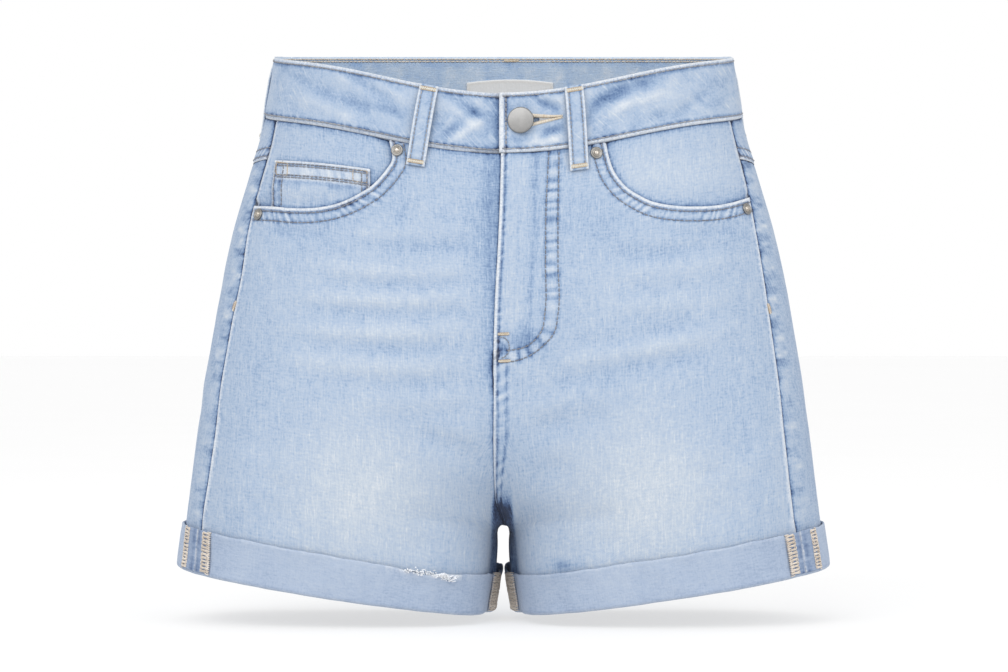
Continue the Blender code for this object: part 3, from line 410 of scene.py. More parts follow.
# ------------------------------------------------------------------------------------------------------- creases and tone
# Soft creases of the fronts, by the photograph's frame.  height in mm, + out of the cloth; width in mm, across; tone, + paler.
FRONT_CREASE_COLUMNS = ("height", "width", "tone", "points")
FRONT_CREASES = (
    # whiskers of the right hip, a ridge (pale) over each trough (deeper)
    (0.50, 5.2, 0.13, ((330, 232), (380, 231), (430, 230), (478, 231))),
    (-0.66, 5.8, -0.12, ((345, 246), (400, 248), (450, 247), (488, 244))),
    (0.74, 5.2, 0.17, ((300, 262), (350, 270), (420, 272), (484, 267))),
    (-0.80, 5.8, -0.15, ((300, 278), (350, 283), (420, 285), (488, 281))),
    (0.86, 5.2, 0.19, ((262, 293), (320, 297), (400, 300), (486, 296))),
    (-0.86, 5.8, -0.16, ((290, 309), (350, 313), (420, 314), (486, 311))),
    (0.86, 5.2, 0.19, ((258, 325), (330, 331), (400, 333), (486, 328))),
    (-0.80, 6.3, -0.14, ((280, 342), (350, 347), (420, 349), (486, 344))),
    (0.76, 5.8, 0.17, ((262, 352), (330, 363), (410, 367), (486, 364))),
    (-0.56, 7.4, -0.09, ((300, 380), (370, 384), (440, 384), (486, 380))),
    (0.44, 6.3, 0.10, ((340, 400), (400, 401), (450, 398), (486, 393))),
    (-0.36, 7.4, -0.05, ((350, 416), (420, 418), (486, 410))),
    # left hip, longer and rising outwards
    (-0.70, 6.0, -0.11, ((560, 343), (610, 340), (660, 331), (715, 318))),
    (1.00, 6.0, 0.20, ((545, 367), (600, 356), (660, 346), (712, 334), (758, 323))),
    (-0.80, 7.0, -0.11, ((540, 385), (600, 374), (660, 364), (720, 352))),
    (-0.75, 6.0, -0.12, ((600, 252), (650, 254), (700, 246), (735, 238))),
    (0.55, 6.0, 0.11, ((590, 268), (650, 271), (710, 263), (750, 252))),
    (-0.45, 6.0, -0.07, ((600, 287), (660, 288), (720, 281))),
    (0.50, 6.0, 0.09, ((590, 303), (650, 305), (720, 296), (760, 286))),
    (-0.40, 6.0, -0.07, ((575, 322), (640, 320), (710, 308))),
    (0.35, 7.0, 0.06, ((600, 232), (660, 236), (725, 230))),
    # drag lines that run up from the crotch
    (-1.10, 8.0, -0.06, ((486, 470), (462, 452), (436, 440), (405, 433))),
    (0.80, 7.0, 0.05, ((486, 440), (455, 428), (420, 422))),
    (-1.20, 8.0, -0.08, ((520, 440), (548, 428), (585, 420), (622, 416))),
    (-0.90, 9.0, -0.05, ((520, 478), (546, 470), (580, 466))),
    (0.70, 7.0, 0.05, ((520, 412), (556, 402), (600, 396))),
    # the legs' long soft hollows above the cuffs
    (-0.9, 14.0, -0.02, ((285, 470), (276, 505), (268, 540))),
    (0.8, 15.0, 0.02, ((250, 440), (240, 480), (228, 525))),
    (-1.0, 14.0, -0.02, ((700, 450), (715, 490), (722, 535))),
    (0.8, 15.0, 0.02, ((748, 440), (762, 480), (772, 530))),
    (-0.8, 12.0, -0.03, ((430, 500), (424, 535), (420, 565))),
    (-0.8, 12.0, -0.03, ((596, 500), (602, 535), (606, 565))),
    # pull at the outer ends of the pocket mouths
    (-0.55, 4.5, -0.08, ((262, 226), (300, 232), (345, 230))),
    (-0.55, 4.5, -0.08, ((745, 224), (700, 232), (650, 231))),
    (-0.6, 5.0, -0.10, ((400, 170), (404, 200), (400, 232))),
    (0.5, 5.0, 0.04, ((420, 176), (428, 205), (430, 235))),
    # edge of the right pocket bag, shown through the cloth
    (0.25, 2.5, 0.05, ((404, 232), (412, 290), (408, 330))),
)
# Broad fades of the fronts, and two spots of painted shade noted below.  amount + paler.
FRONT_FADE_AND_SHADE_COLUMNS = ("px", "py", "half_x", "half_y", "amount")
FRONT_FADES_AND_SHADE = (
    (355, 490, 80, 80, 0.44), (648, 490, 80, 80, 0.42), (370, 320, 110, 80, 0.14), (640, 320, 105, 75, 0.12),
    (215, 430, 20, 170, -0.06), (792, 430, 20, 170, 0.04), (262, 240, 30, 90, -0.04), (745, 240, 28, 90, -0.02),
    (482, 470, 22, 70, -0.05), (526, 470, 24, 70, -0.08), (478, 215, 14, 70, -0.10), (440, 190, 60, 28, 0.06),
    # (566, 567) on the next line is painted shadow under the gaping edge of the left cuff
    (560, 200, 26, 80, 0.02), (522, 341, 20, 13, -0.42), (527, 369, 16, 7, 0.16), (566, 567, 13, 5, -0.55), (690, 108, 62, 26, 0.10), (380, 120, 90, 26, 0.03), (330, 235, 80, 18, -0.03),
    (690, 232, 80, 16, -0.03), (664, 172, 58, 34, 0.20), (330, 190, 50, 20, -0.10), (500, 400, 60, 60, 0.06),
    (410, 290, 95, 60, 0.05), (265, 250, 20, 26, 0.10), (598, 226, 26, 30, -0.08), (648, 500, 70, 60, 0.06), (505, 515, 330, 70, 0.08), (505, 500, 60, 90, 0.05),
    # (344, 203) on the next line is painted shade in a small fold on the coin pocket
    (212, 430, 16, 80, 0.12), (800, 430, 20, 90, 0.26), (205, 350, 22, 50, 0.06), (505, 560, 330, 30, 0.04), (315, 187, 34, 10, 0.05), (690, 250, 90, 60, 0.04), (344, 203, 13, 3.4, -0.50), (268, 186, 6, 12, -0.10),
    (487, 210, 5, 60, -0.22),
)
# The same on the back, by mm from the centre back seam and mm down, alike on both sides but for the `lift` of the right one.
BACK_CREASE_COLUMNS = ("height", "width", "tone", "lift", "points")
BACK_CREASES = (
    (-1.3, 8.0, -0.08, 4.0, ((6, 262), (40, 252), (80, 250), (120, 256))),
    (0.9, 7.0, 0.07, 5.0, ((8, 246), (45, 236), (85, 235), (130, 240))),
    (-1.0, 8.0, -0.07, -3.0, ((8, 232), (40, 222), (76, 220))),
    (0.8, 9.0, 0.06, 6.0, ((20, 285), (70, 272), (120, 274))),
    (-1.1, 10.0, -0.05, -5.0, ((24, 300), (80, 290), (140, 294), (190, 302))),
    (-0.7, 8.0, -0.07, 3.0, ((250, 150), (225, 160), (190, 164))),
    (0.6, 8.0, 0.06, -4.0, ((255, 170), (225, 180), (180, 184))),
    (-0.8, 8.0, -0.07, 5.0, ((262, 192), (225, 202), (185, 204), (150, 200))),
    (0.6, 8.0, 0.05, 2.0, ((270, 212), (235, 222), (190, 224))),
    (-0.6, 9.0, -0.05, -4.0, ((285, 236), (240, 246), (200, 248))),
    (-0.8, 15.0, -0.02, 8.0, ((225, 270), (232, 300), (238, 330))),
    (0.8, 16.0, 0.02, -8.0, ((190, 280), (196, 310), (200, 332))),
    (-0.8, 14.0, -0.02, 4.0, ((110, 292), (104, 315), (100, 334))),
    (-0.5, 7.0, -0.05, 2.0, ((20, 130), (60, 124), (100, 120))),
)
BACK_FADE_AND_SHADE_COLUMNS = ("across", "down", "half_x", "half_y", "amount")
# Broad fades of the back, and painted shade at the crotch: the last entry, (0, 303), darkens the cloth beside the
# inseam where the legs shade each other.
BACK_FADES_AND_SHADE = (
    (125, 190, 90, 80, 0.26), (150, 300, 90, 40, 0.08), (0, 180, 20, 110, -0.14), (30, 280, 50, 40, -0.16), (120, 60, 120, 24, 0.04),
    (310, 200, 60, 160, -0.12), (0, 303, 13, 15, -0.9),
)


GRAIN_X = 112.0 * MM  # the grain of each panel runs straight down through the places this far from the centre plane


def grain_table():
    heights = np.linspace(0.002, -0.344, 90)
    made = {}
    for side in (1, -1):
        for part, low in (("front", 0.0), ("back", 1.0)):
            a, b = np.full(len(heights), low), np.full(len(heights), low + 1)
            for _ in range(34):
                middle = (a + b) / 2
                less = side * FORM.read(side, middle, heights)[0][:, 0] < GRAIN_X
                toward = less if part == "front" else ~less
                a, b = np.where(toward, middle, a), np.where(toward, b, middle)
            made[side, part] = (-heights, (a + b) / 2)
    return made


GRAIN = grain_table()


def grain(side, part, q, v):
    """Cloth coordinates in metres of places on the `part` of a side: across the grain, and along it."""
    heights, places = GRAIN[side, part]
    return np.stack([(q - np.interp(-v, heights, places)) * FORM.span(side, part, v), v], -1)


def back_flat(side, q, v):
    """mm from the centre back, mm down."""
    return np.stack([(2 - q) * FORM.span(side, "back", v) / MM, -v / MM], -1)


def front_flat(side, q, v):
    """mm from the centre front, mm down."""
    return np.stack([q * FORM.span(side, "front", v) / MM, -v / MM], -1)


def seen_creases(table, at, half):
    """Heights (mm) and tones of creases given in the photograph's frame, for places `at` in it on the half +1 or -1."""
    h, t = np.zeros(len(at)), np.zeros(len(at))
    for high, width, shade, points in table:
        line = curve(points, 6.0)
        ours = (half > 0) if line[:, 0].mean() > 504 else (half < 0)
        box = ours & (abs(at[:, 0] - line[:, 0].mean()) < np.ptp(line[:, 0]) / 2 + 4.5 * width) & (
            abs(at[:, 1] - line[:, 1].mean()) < np.ptp(line[:, 1]) / 2 + 4.5 * width
        )
        if not box.any():
            continue
        dist, along, _ = near(at[box], line)
        total = distances(line)[-1]
        ends = smooth(np.minimum(along, total - along) / (0.30 * total) + 0.02)
        dist = dist / 1.49
        wave = 1 + 0.25 * wobble(along, int(points[0][1]) + int(points[0][0]), 34.0)
        h[box] += high * ends * bell(dist, width) * wave
        t[box] += shade * ends * bell(dist, width * 0.95) * wave
    return h, t


def broad(side, q, v):
    """The large soft creases and fades, with a few spots of painted shade, that all the pieces share: height in metres,
    and tone.
    """
    side, q, v = (np.array(x, float) for x in np.broadcast_arrays(side, q, v))
    shape = q.shape
    side, q, v = side.ravel(), q.ravel(), v.ravel()
    height, tone = np.zeros(len(q)), np.zeros(len(q))
    # front
    fore = q < 1.12
    if fore.any():
        at = screen(FORM.read(side[fore], q[fore], v[fore])[0])
        h, t = seen_creases(FRONT_CREASES, at, np.where(q[fore] < 0, -side[fore], side[fore]))
        for cx, cy, rx, ry, amount in FRONT_FADES_AND_SHADE:
            t += amount * np.exp(-((at[:, 0] - cx) / rx) ** 2 - ((at[:, 1] - cy) / ry) ** 2)
        keep = 1 - smooth((q[fore] - 0.93) / 0.16)
        height[fore] += h * keep
        tone[fore] += t * keep
    aft = q > 0.95
    if aft.any():
        at = back_flat(side[aft], q[aft], v[aft])
        h, t = np.zeros(len(at)), np.zeros(len(at))
        half = np.where(q[aft] > 2, -side[aft], side[aft])
        mirrored = np.stack([abs(at[:, 0]), at[:, 1]], 1)
        for high, width, shade, lift, points in BACK_CREASES:
            for own in (1, -1):
                ours = half == own
                line = curve(np.array(points, float) + (0, lift if own < 0 else 0), 8.0)
                line = line * (1.0 if own > 0 else 1.04, 1.0)
                box = ours & (abs(mirrored[:, 0] - line[:, 0].mean()) < np.ptp(line[:, 0]) / 2 + 3 * width) & (
                    abs(mirrored[:, 1] - line[:, 1].mean()) < np.ptp(line[:, 1]) / 2 + 3 * width
                )
                if not box.any():
                    continue
                dist, along, _ = near(mirrored[box], line)
                total = distances(line)[-1]
                ends = smooth(np.minimum(along, total - along) / (0.30 * total) + 0.02)
                wave = 1 + 0.25 * wobble(along, int(points[0][1]) + own, 24.0)
                h[box] += high * ends * bell(dist, width) * wave
                t[box] += shade * ends * bell(dist, width) * wave
        for cx, cy, rx, ry, amount in BACK_FADES_AND_SHADE:
            t += amount * np.exp(-((mirrored[:, 0] - cx) / rx) ** 2 - ((at[:, 1] - cy) / ry) ** 2)
        keep = smooth((q[aft] - 0.97) / 0.16)
        height[aft] += h * keep
        tone[aft] += t * keep
    # all round: long shallow unevenness
    a = np.where(q < 1, q * 200, 400 - (2 - q) * 300 + 100) + side * 53.0
    height += 0.22 * wobble(a + 0.35 * v / MM, 5, 62.0) * smooth((-v / MM - 45) / 60)
    quiet = 1 - 0.75 * bell(v / MM + 20, 26.0)  # the waistband holds its line
    return (height * quiet * MM).reshape(shape), tone.reshape(shape)


# ------------------------------------------------------------------------------------------------------------- mesh making
def make_object(name, points, faces, uv=None, dye=None, sharp=None):
    """An object from points and polygons (arrays of 3 or 4 columns, or several of them)."""
    faces = [f for f in (faces if isinstance(faces, (list, tuple)) else [faces]) if len(f)]
    mesh = bpy.data.meshes.new(name)
    loops = np.concatenate([f.ravel() for f in faces]).astype(np.int32)
    sizes = np.concatenate([np.full(len(f), f.shape[1]) for f in faces]).astype(np.int32)
    starts = np.concatenate([[0], np.cumsum(sizes)[:-1]]).astype(np.int32)
    mesh.vertices.add(len(points))
    mesh.vertices.foreach_set("co", np.asarray(points, np.float32).ravel())
    mesh.loops.add(len(loops))
    mesh.loops.foreach_set("vertex_index", loops)
    mesh.polygons.add(len(sizes))
    mesh.polygons.foreach_set("loop_start", starts)
    mesh.update(calc_edges=True)
    mesh.validate()
    if uv is not None:
        layer = mesh.uv_layers.new(name="cloth")
        layer.uv.foreach_set("vector", np.asarray(uv, np.float32)[loops].ravel())
    if dye is not None:
        made = mesh.attributes.new("dye", "FLOAT_COLOR", "POINT")
        rgba = np.ones((len(points), 4), np.float32)
        rgba[:, : dye.shape[1]] = dye
        made.data.foreach_set("color", rgba.ravel())
    mesh.shade_smooth()
    if sharp:
        mesh.set_sharp_from_angle(angle=math.radians(sharp))
    obj = bpy.data.objects.new(name, mesh)
    bpy.context.scene.collection.objects.link(obj)
    return obj


def patch(outline, fringes, fine, step, hole=None):
    """Triangles that fill an outline (mm).  fringes are extra rows of points; fine(points) says where the mesh is dense."""
    outline = np.asarray(outline, float)
    low, high = outline.min(0) - 1, outline.max(0) + 1
    rows = int((high[1] - low[1]) / (step * math.sqrt(3) / 2)) + 2
    columns = int((high[0] - low[0]) / step) + 2
    j, i = np.mgrid[0:rows, 0:columns]
    i = i - (j // 2)[...]
    spots = np.stack([(i + j / 2) * step + low[0], j * step * math.sqrt(3) / 2 + low[1]], -1).reshape(-1, 2)
    coarse = ((i % 2 == 0) & (j % 2 == 0)).ravel()
    coarser = ((i % 4 == 0) & (j % 4 == 0)).ravel()
    want = fine(spots)  # 2 dense, 1 middling, 0 sparse
    spots = spots[(want == 2) | ((want == 1) & coarse) | coarser]
    inside = in_polygon(spots, outline)
    spots = spots[inside]
    rim, _, _ = near(spots, np.vstack([outline, outline[:1]]))
    spots = spots[rim > step * 0.62]
    for row in fringes:
        row = row[in_polygon(row, outline)]
        rim, _, _ = near(row, np.vstack([outline, outline[:1]]))
        row = row[rim > 0.22]
        if len(row):
            tree = cells_near(spots, row, step * 0.60)
            spots = np.vstack([spots[~tree], row])
    n = len(outline)
    edges = [(k, (k + 1) % n) for k in range(n)]
    if hole is not None:
        rim, _, _ = near(spots, np.vstack([hole, hole[:1]]))
        spots = spots[~in_polygon(spots, hole) & (rim > 0.15)]
        edges += [(n + k, n + (k + 1) % len(hole)) for k in range(len(hole))]
        spots = np.vstack([hole, spots])
    everything = np.vstack([outline, spots])
    result = delaunay_2d_cdt([tuple(map(float, p)) for p in everything], edges, [list(range(n))], 1, 1e-6, False)
    points = np.array([tuple(p) for p in result[0]], float)
    tris = np.array([f for f in result[2] if len(f) == 3], int)
    tris = tris[in_polygon(points[tris].mean(1), outline)]
    if hole is not None:
        tris = tris[~in_polygon(points[tris].mean(1), hole)]
    a, b, c = (points[tris[:, k]] for k in range(3))
    turn = (b[:, 0] - a[:, 0]) * (c[:, 1] - a[:, 1]) - (b[:, 1] - a[:, 1]) * (c[:, 0] - a[:, 0])
    tris = tris[abs(turn) > 1e-7]
    turn = turn[abs(turn) > 1e-7]
    tris[turn < 0] = tris[turn < 0][:, ::-1]
    return points, tris


def in_polygon(points, outline):
    x, y = points[:, 0], points[:, 1]
    inside = np.zeros(len(points), bool)
    for a, b in zip(outline, np.roll(outline, -1, axis=0)):
        crosses = (a[1] > y) != (b[1] > y)
        with np.errstate(divide="ignore", invalid="ignore"):
            at = (b[0] - a[0]) * (y - a[1]) / (b[1] - a[1]) + a[0]
        inside ^= crosses & (x < at)
    return inside


def cells_near(spots, row, reach):
    """Which spots lie within `reach` of any point of `row`, by a grid of cells."""
    size = reach
    filled = {}
    for p in row:
        filled.setdefault((int(p[0] // size), int(p[1] // size)), []).append(p)
    low, high = row.min(0) - reach, row.max(0) + reach
    hit = np.zeros(len(spots), bool)
    for k in np.nonzero(((spots > low) & (spots < high)).all(1))[0]:
        cx, cy = int(spots[k, 0] // size), int(spots[k, 1] // size)
        for dx in (-1, 0, 1):
            for dy in (-1, 0, 1):
                for p in filled.get((cx + dx, cy + dy), ()):
                    if (p[0] - spots[k, 0]) ** 2 + (p[1] - spots[k, 1]) ** 2 < reach * reach:
                        hit[k] = True
                        break
    return hit


def border_edges(tris):
    """Directed edges that belong to one triangle only."""
    edges = np.concatenate([tris[:, [0, 1]], tris[:, [1, 2]], tris[:, [2, 0]]])
    keys = {(a, b) for a, b in edges.tolist()}
    return np.array([(a, b) for a, b in keys if (b, a) not in keys], int)


def offset(line, away):
    """A polyline moved sideways: + to its right."""
    d = np.gradient(line, axis=0)
    d /= np.maximum(np.linalg.norm(d, axis=1, keepdims=True), 1e-9)
    return line + np.stack([d[:, 1], -d[:, 0]], 1) * away


def shell(
    name, outline, fringes, fine, step, to_place, levels, nodes, turned=False, hole=None, reverse=1.0, part=None, material="denim"
):
    """A thin closed shell over a flat outline in mm.

    to_place(points) gives side, q, v; levels(points, side, q, v) gives the outer level, the inner level and the dye."""
    points, tris = patch(outline, fringes, fine, step, hole)
    side, q, v = to_place(points)
    outer, inner, dye = levels(points, side, q, v)
    out = FORM.place(side, q, v, outer)
    inn = FORM.place(side, q, v, inner)
    n = len(points)
    p, q3, r = out[tris[:, 0]], out[tris[:, 1]], out[tris[:, 2]]
    normal = FORM.read(side, q, v)[1][tris[:, 0]]
    facing = (np.cross(q3 - p, r - p) * normal).sum(1)
    if (facing > 0).mean() < 0.5:
        tris = tris[:, ::-1]
    rim = border_edges(tris)
    walls = np.stack([rim[:, 1], rim[:, 0], rim[:, 0] + n, rim[:, 1] + n], 1)
    uv = grain(int(side[0]), part, q, v) + (0.7 * len(name), 0.0) if part else points * MM
    if turned:
        uv = uv[:, ::-1]
    inner_dye = dye.copy()
    inner_dye[:, 0] *= 0.3
    inner_dye[:, 2] = reverse  # 1 on the reverse of the cloth
    if not reverse:
        along = points[:, 0]
        inner_dye[:, 1] = (
            0.4 * inner_dye[:, 1] + 0.44 + 0.20 * wobble(along, 931, 17.0) * (0.6 + 0.4 * wobble(points[:, 1], 932, 26.0))
            - 0.22 * bell(points[:, 1] - 5.6, 1.6) + 0.10 * wobble(along + 1.3 * points[:, 1], 933, 6.0)
        )
    obj = make_object(
        name, np.vstack([out, inn]), [tris, tris[:, ::-1] + n, walls], np.vstack([uv, uv]), np.vstack([dye, inner_dye])
    )
    obj.data.materials.append(MATERIALS[material])
    if not reverse:
        obj.data.materials.append(MATERIALS["denim_inside"])
        index = np.zeros(len(obj.data.polygons), np.int32)
        index[len(tris) : 2 * len(tris)] = 1
        obj.data.polygons.foreach_set("material_index", index)
    finish_piece(obj, nodes)
    x, y = np.asarray(outline).T * MM
    cut = abs((x * np.roll(y, -1) - np.roll(x, -1) * y).sum()) / 2
    declare(obj, np.ptp(x), np.ptp(y), cut)
    return obj


def finish_piece(obj, nodes=(), slot="denim"):
    if not obj.data.materials:
        obj.data.materials.append(MATERIALS[slot])
    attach(obj, "root")
    if nodes:
        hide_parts(*nodes)
    return obj


def declare(obj, width, length, area=None):
    """Takes the cut of a cloth piece, in metres, as it shows, and clamps it; the values are not stored."""
    width, length = max(float(width), 0.0101), max(float(length), 0.0101)
    if area is not None:
        area = float(np.clip(area, 0.301 * width * length, width * length))


# ------------------------------------------------------------------------------------------------------------- seam edges
def rounded_edge(d, outer, inner, radius=0.9):
    """Rounds a folded edge: both faces come together at distance d (mm) = 0."""
    t = np.clip(d / radius, 0, 1)
    bulge = np.sqrt(np.clip(1 - (1 - t) ** 2, 0, 1))
    middle, half = (outer + inner) / 2, (outer - inner) / 2
    return middle + half * (0.10 + 0.90 * bulge), middle - half * (0.10 + 0.90 * bulge)


class Edge:
    """A seam or a folded edge of a piece, in its flat mm: a line and how the cloth behaves beside it."""

    def __init__(self, line, kind, white=1.0, rows=(), seed=1, reach=14.0, rope=1.0, radius=0.9, wide=1.25, period=6.4):
        self.line, self.kind, self.white, self.rows = np.asarray(line, float), kind, white, rows
        self.seed, self.reach, self.rope, self.radius, self.wide = seed, reach, rope, radius, wide
        self.period = period


def apply_edges(points, edges, outer, inner, dye):
    """Shapes the levels (metres) and the dye (white, tone, reverse) along the edges."""
    for e in edges:
        low, high = e.line.min(0) - e.reach, e.line.max(0) + e.reach
        box = ((points > low) & (points < high)).all(1)
        if not box.any():
            continue
        d, s, _ = near(points[box], e.line)
        o, i, c = outer[box], inner[box], dye[box]
        uneven = 1 + 0.35 * wobble(s, e.seed, 13.0) + 0.16 * wobble(s, e.seed + 5, 4.0)
        if e.kind == "ridge":  # folded over and rubbed white
            o = o + 0.42 * MM * bell(d - 1.15, 1.05) * (0.8 + 0.2 * uneven)
            o, i = rounded_edge(d, o, i, e.radius)
            c[:, 0] = np.maximum(c[:, 0], e.white * np.clip(bell(np.maximum(d - e.wide, 0), 0.75) * (0.80 + 0.26 * uneven), 0, 1.2))
            c[:, 1] -= 0.22 * bell(d - e.wide - 1.8, 1.2) * e.white * np.clip(uneven, 0.3, 2)
        elif e.kind == "under":  # passes under its neighbour's edge
            o = o - 0.55 * MM * bell(d, 1.7)
            i = i - 0.55 * MM * bell(d, 1.7)
            # the tone is painted darker here: painted shadow of the neighbour's edge over this cloth
            c[:, 1] -= (0.85 * bell(d, 0.9) + 0.34 * bell(d - 1.0, 2.2)) * np.clip(0.85 + 0.25 * (uneven - 1), 0.4, 1.2)
        elif e.kind == "seam":  # pressed open behind: the cloth turns in along a fine groove
            o = o - 0.45 * MM * bell(d, 0.8)
            c[:, 0] = np.maximum(c[:, 0], 0.5 * e.white * bell(d - 1.1, 0.9) * uneven)
            c[:, 1] -= 0.35 * bell(d, 0.6)
        elif e.kind == "cut":
            o, i = rounded_edge(d, o, i, 0.6)
        rows = np.array(e.rows, float)
        for row in rows:  # the thread draws the cloth down
            o = o - 0.30 * MM * bell(d - row, 0.75)
            # the tone is painted darker along each row: painted shade in the groove the thread pulls
            c[:, 1] -= 0.50 * bell(d - row, 1.15)
        if len(rows) and e.rope:
            mid = rows.mean()
            reach = (rows.max() - rows.min()) / 2 + 1.6
            window = smooth(1.35 - abs(d - mid) / (reach + 1.0))
            phase = s + 0.5 * (d - mid) + 1.9 * wobble(s, e.seed + 9, 27.0)
            wave = np.sin(phase * 2 * math.pi / e.period) * (0.60 + 0.45 * wobble(s, e.seed + 3, 19.0))
            o = o + 0.24 * MM * wave * window * e.rope
            i = i + 0.20 * MM * wave * window * e.rope
            c[:, 0] = np.maximum(c[:, 0], 0.70 * e.white * e.rope * window * np.clip(wave - 0.15, 0, 1))
            c[:, 1] += 0.34 * (wave - 0.12) * window * e.rope
        outer[box], inner[box], dye[box] = o, i, c
    return outer, inner, dye


def fringe_rows(line, inward, at=(0.35, 0.85, 1.45, 2.2, 3.1), step=1.15):
    """Rows of points beside an edge, where its fold and thread need a dense mesh."""
    return [resample(offset(line, inward * away), step) for away in at]


def v_line(side, part, q, top, low, step=1.4):
    """A line of constant q in a piece's flat mm, from the height top down to low."""
    v = np.linspace(top, low, max(int(abs(top - low) / MM / step), 2))
    q = np.full(len(v), q) if np.isscalar(q) else np.interp(-v, [-top, -low], q)
    return (front_flat if part == "front" else back_flat)(side, q, v)


# ------------------------------------------------------------------------------------------------------------ the pieces
def from_front(points, side):
    v = -points[:, 1] * MM
    return np.full(len(v), side, float), points[:, 0] * MM / FORM.span(side, "front", v), v


def from_back(points, side):
    v = -points[:, 1] * MM
    return np.full(len(v), side, float), 2 - points[:, 0] * MM / FORM.span(side, "back", v), v


def mouth(side):
    """The pocket mouth's edge in flat mm, from the waistband to the side seam."""
    table = np.array(MOUTHS[side], float)
    q, v = FORM.locate(side, table[:, 0], table[:, 1])
    flat = front_flat(side, q, v)
    flat = flat[q < 0.985]
    flat = flat[flat[:, 1] > BAND_HEIGHT / MM + 2]
    if table[0, 1] > -60.5:  # its start lies on the waistband's lower edge
        q0 = FORM.across(side, table[0, 0] * MM, -BAND_HEIGHT)
        flat = np.vstack([front_flat(side, q0, np.array(-BAND_HEIGHT))[None, :] if q0.ndim == 0 else front_flat(side, q0, np.full(1, -BAND_HEIGHT)), flat])
    slope = (flat[-1] - flat[-2]) / np.linalg.norm(flat[-1] - flat[-2])
    end_v = -flat[-1, 1] * MM
    width = float(FORM.span(side, "front", end_v)) / MM
    flat = np.vstack([flat, flat[-1] + slope * (width - flat[-1, 0]) / max(slope[0], 0.5)])
    line = curve(flat, 1.1)
    line[:, 0] = np.minimum(line[:, 0], [float(FORM.span(side, "front", -y * MM)) / MM for y in line[:, 1]])
    return line


MOUTH_LINES = {side: mouth(side) for side in (1, -1)}
MOUTH_ROWS = (3.2, 9.4)  # the two rows of thread from the mouth's edge, mm
J_ROWS = {  # the fly's two rows, by the photograph's frame
    "inner": ((549, 146), (546, 210), (545.5, 262), (545, 312), (541.5, 331), (527, 346), (512, 350), (501, 350.5)),
    "outer": ((559, 144), (558, 212), (558, 262), (558, 314), (553.5, 334), (544, 345), (529, 356), (512, 361.5), (501, 362)),
}


def j_lines():
    out = {}
    for name, table in J_ROWS.items():
        px, py = np.array(table, float).T
        q, v = FORM.seen(1, px, py)
        out[name] = curve(front_flat(1, q, v), 1.2)
    return out


J_LINES = j_lines()
FLY_END = -0.182


def pinch(points, v):
    """The legs' inner sides come nearer to each other just over the cuffs."""
    return 1.3 * MM * bell(points[:, 0], 15.0) * bell((v + 0.297) / 0.012, 1.0)


def front_levels(side, edges, lap):
    def levels(points, s, q, v):
        high, tone = broad(s, q, v)
        outer = high.copy()
        dye = np.zeros((len(points), 3))
        dye[:, 1] = tone
        if side < 0:
            drop = LAP_DROP * between(q, 0.10, 0.0) * between(v, LAP_LEVEL_END, LAP_END)
            outer = outer - np.where(lap, drop, 0)
            # painted shadow of the left front's fly edge on the right front, which runs under it
            shade = smooth(between(v, -0.215, -0.19))
            dye[:, 1] -= 0.55 * bell(points[:, 0] + 0.2, 1.9) * shade + 0.28 * bell(points[:, 0] - 2.0, 6.5) * shade
        inner = outer - CLOTH
        if side > 0:  # the fly: rope between the J rows, and its tone
            for name, line in J_LINES.items():
                d, _, _ = near(points, line)
                outer = outer - 0.30 * MM * bell(d, 0.75)
                # the tone is painted darker along the J rows: painted shade in their grooves
                dye[:, 1] -= 0.40 * bell(d, 1.0)
            d, along, signed = near(points, J_LINES["inner"])
            mid = 4.0
            window = smooth(1.4 - abs(signed_out(points, d, signed) - mid) / 5.2) * smooth((along + 2) / 10)
            wave = np.sin((along + 2.6 * wobble(along, 61, 31.0)) * 2 * math.pi / 8.2) * (0.86 + 0.28 * wobble(along, 62, 19.0))
            outer = outer + 0.24 * MM * wave * window
            dye[:, 1] += (0.14 * wave - 0.42 * np.clip(-wave - 0.30, 0, 1)) * window
            dye[:, 0] = np.maximum(dye[:, 0], 0.36 * window * np.clip(wave - 0.1, 0, 1) * bell(signed_out(points, d, signed) - mid, 3.0))
            fly = smooth(between(v, -0.19, -0.165))
            dye[:, 1] += fly * (0.14 * bell(points[:, 0] - 9.5, 7.0) - 0.20 * bell(points[:, 0] - 21.5, 2.8) + 0.04 * bell(points[:, 0] - 25.5, 2.0))
            dye[:, 1] += fly * 0.10 * wobble(points[:, 0], 64, 5.0) * (0.6 + 0.4 * wobble(points[:, 1], 65, 30.0)) * (points[:, 0] < 30)
            outer = outer - 0.35 * MM * fly * bell(points[:, 0] - 21.5, 3.0)
        low = smooth(between(v, -0.205, -0.262))
        dye[:, 1] -= 0.06 * low * bell(points[:, 0], 16.0)
        outer, inner = outer + pinch(points, v), inner + pinch(points, v)
        outer, inner, dye = apply_edges(points, edges, outer, inner, dye)
        # crotch: painted shade beside the inseam, where the legs shade each other, placed by where it falls in the
        # camera's frame, with a painted highlight along its border; the rubbed white is taken out there
        near_fork = (v < -0.225) & (points[:, 0] < 30)
        if near_fork.any():
            at = screen(FORM.read(s[near_fork], q[near_fork], v[near_fork])[0])
            border = np.interp(at[:, 1], (480, 500, 545, 578), (493.5, 492.5, 490.5, 489.0) if side < 0 else (511.0, 511.0, 516.5, 519.5))
            past = (at[:, 0] - border) * (1 if side < 0 else -1)
            window = smooth((at[:, 1] - 484) / 26)
            deep = np.interp(at[:, 1], (484, 510, 521, 548), (0.55, 1.12, 0.95, 0.72))
            dye[near_fork, 1] += window * (0.12 * bell(past + 4.0, 4.0) - deep * smooth(past / 2.8 + 0.5))
            dye[near_fork, 0] *= 1 - window * smooth(past / 2.8 + 0.6)
        return outer, inner, dye

    return levels


def signed_out(points, d, signed):
    """Distance outwards from the fly's inner row: + away from the centre."""
    centre = np.array([[5.0, 100.0]])
    _, _, reference = near(centre, J_LINES["inner"])
    return -signed * np.sign(reference[0])


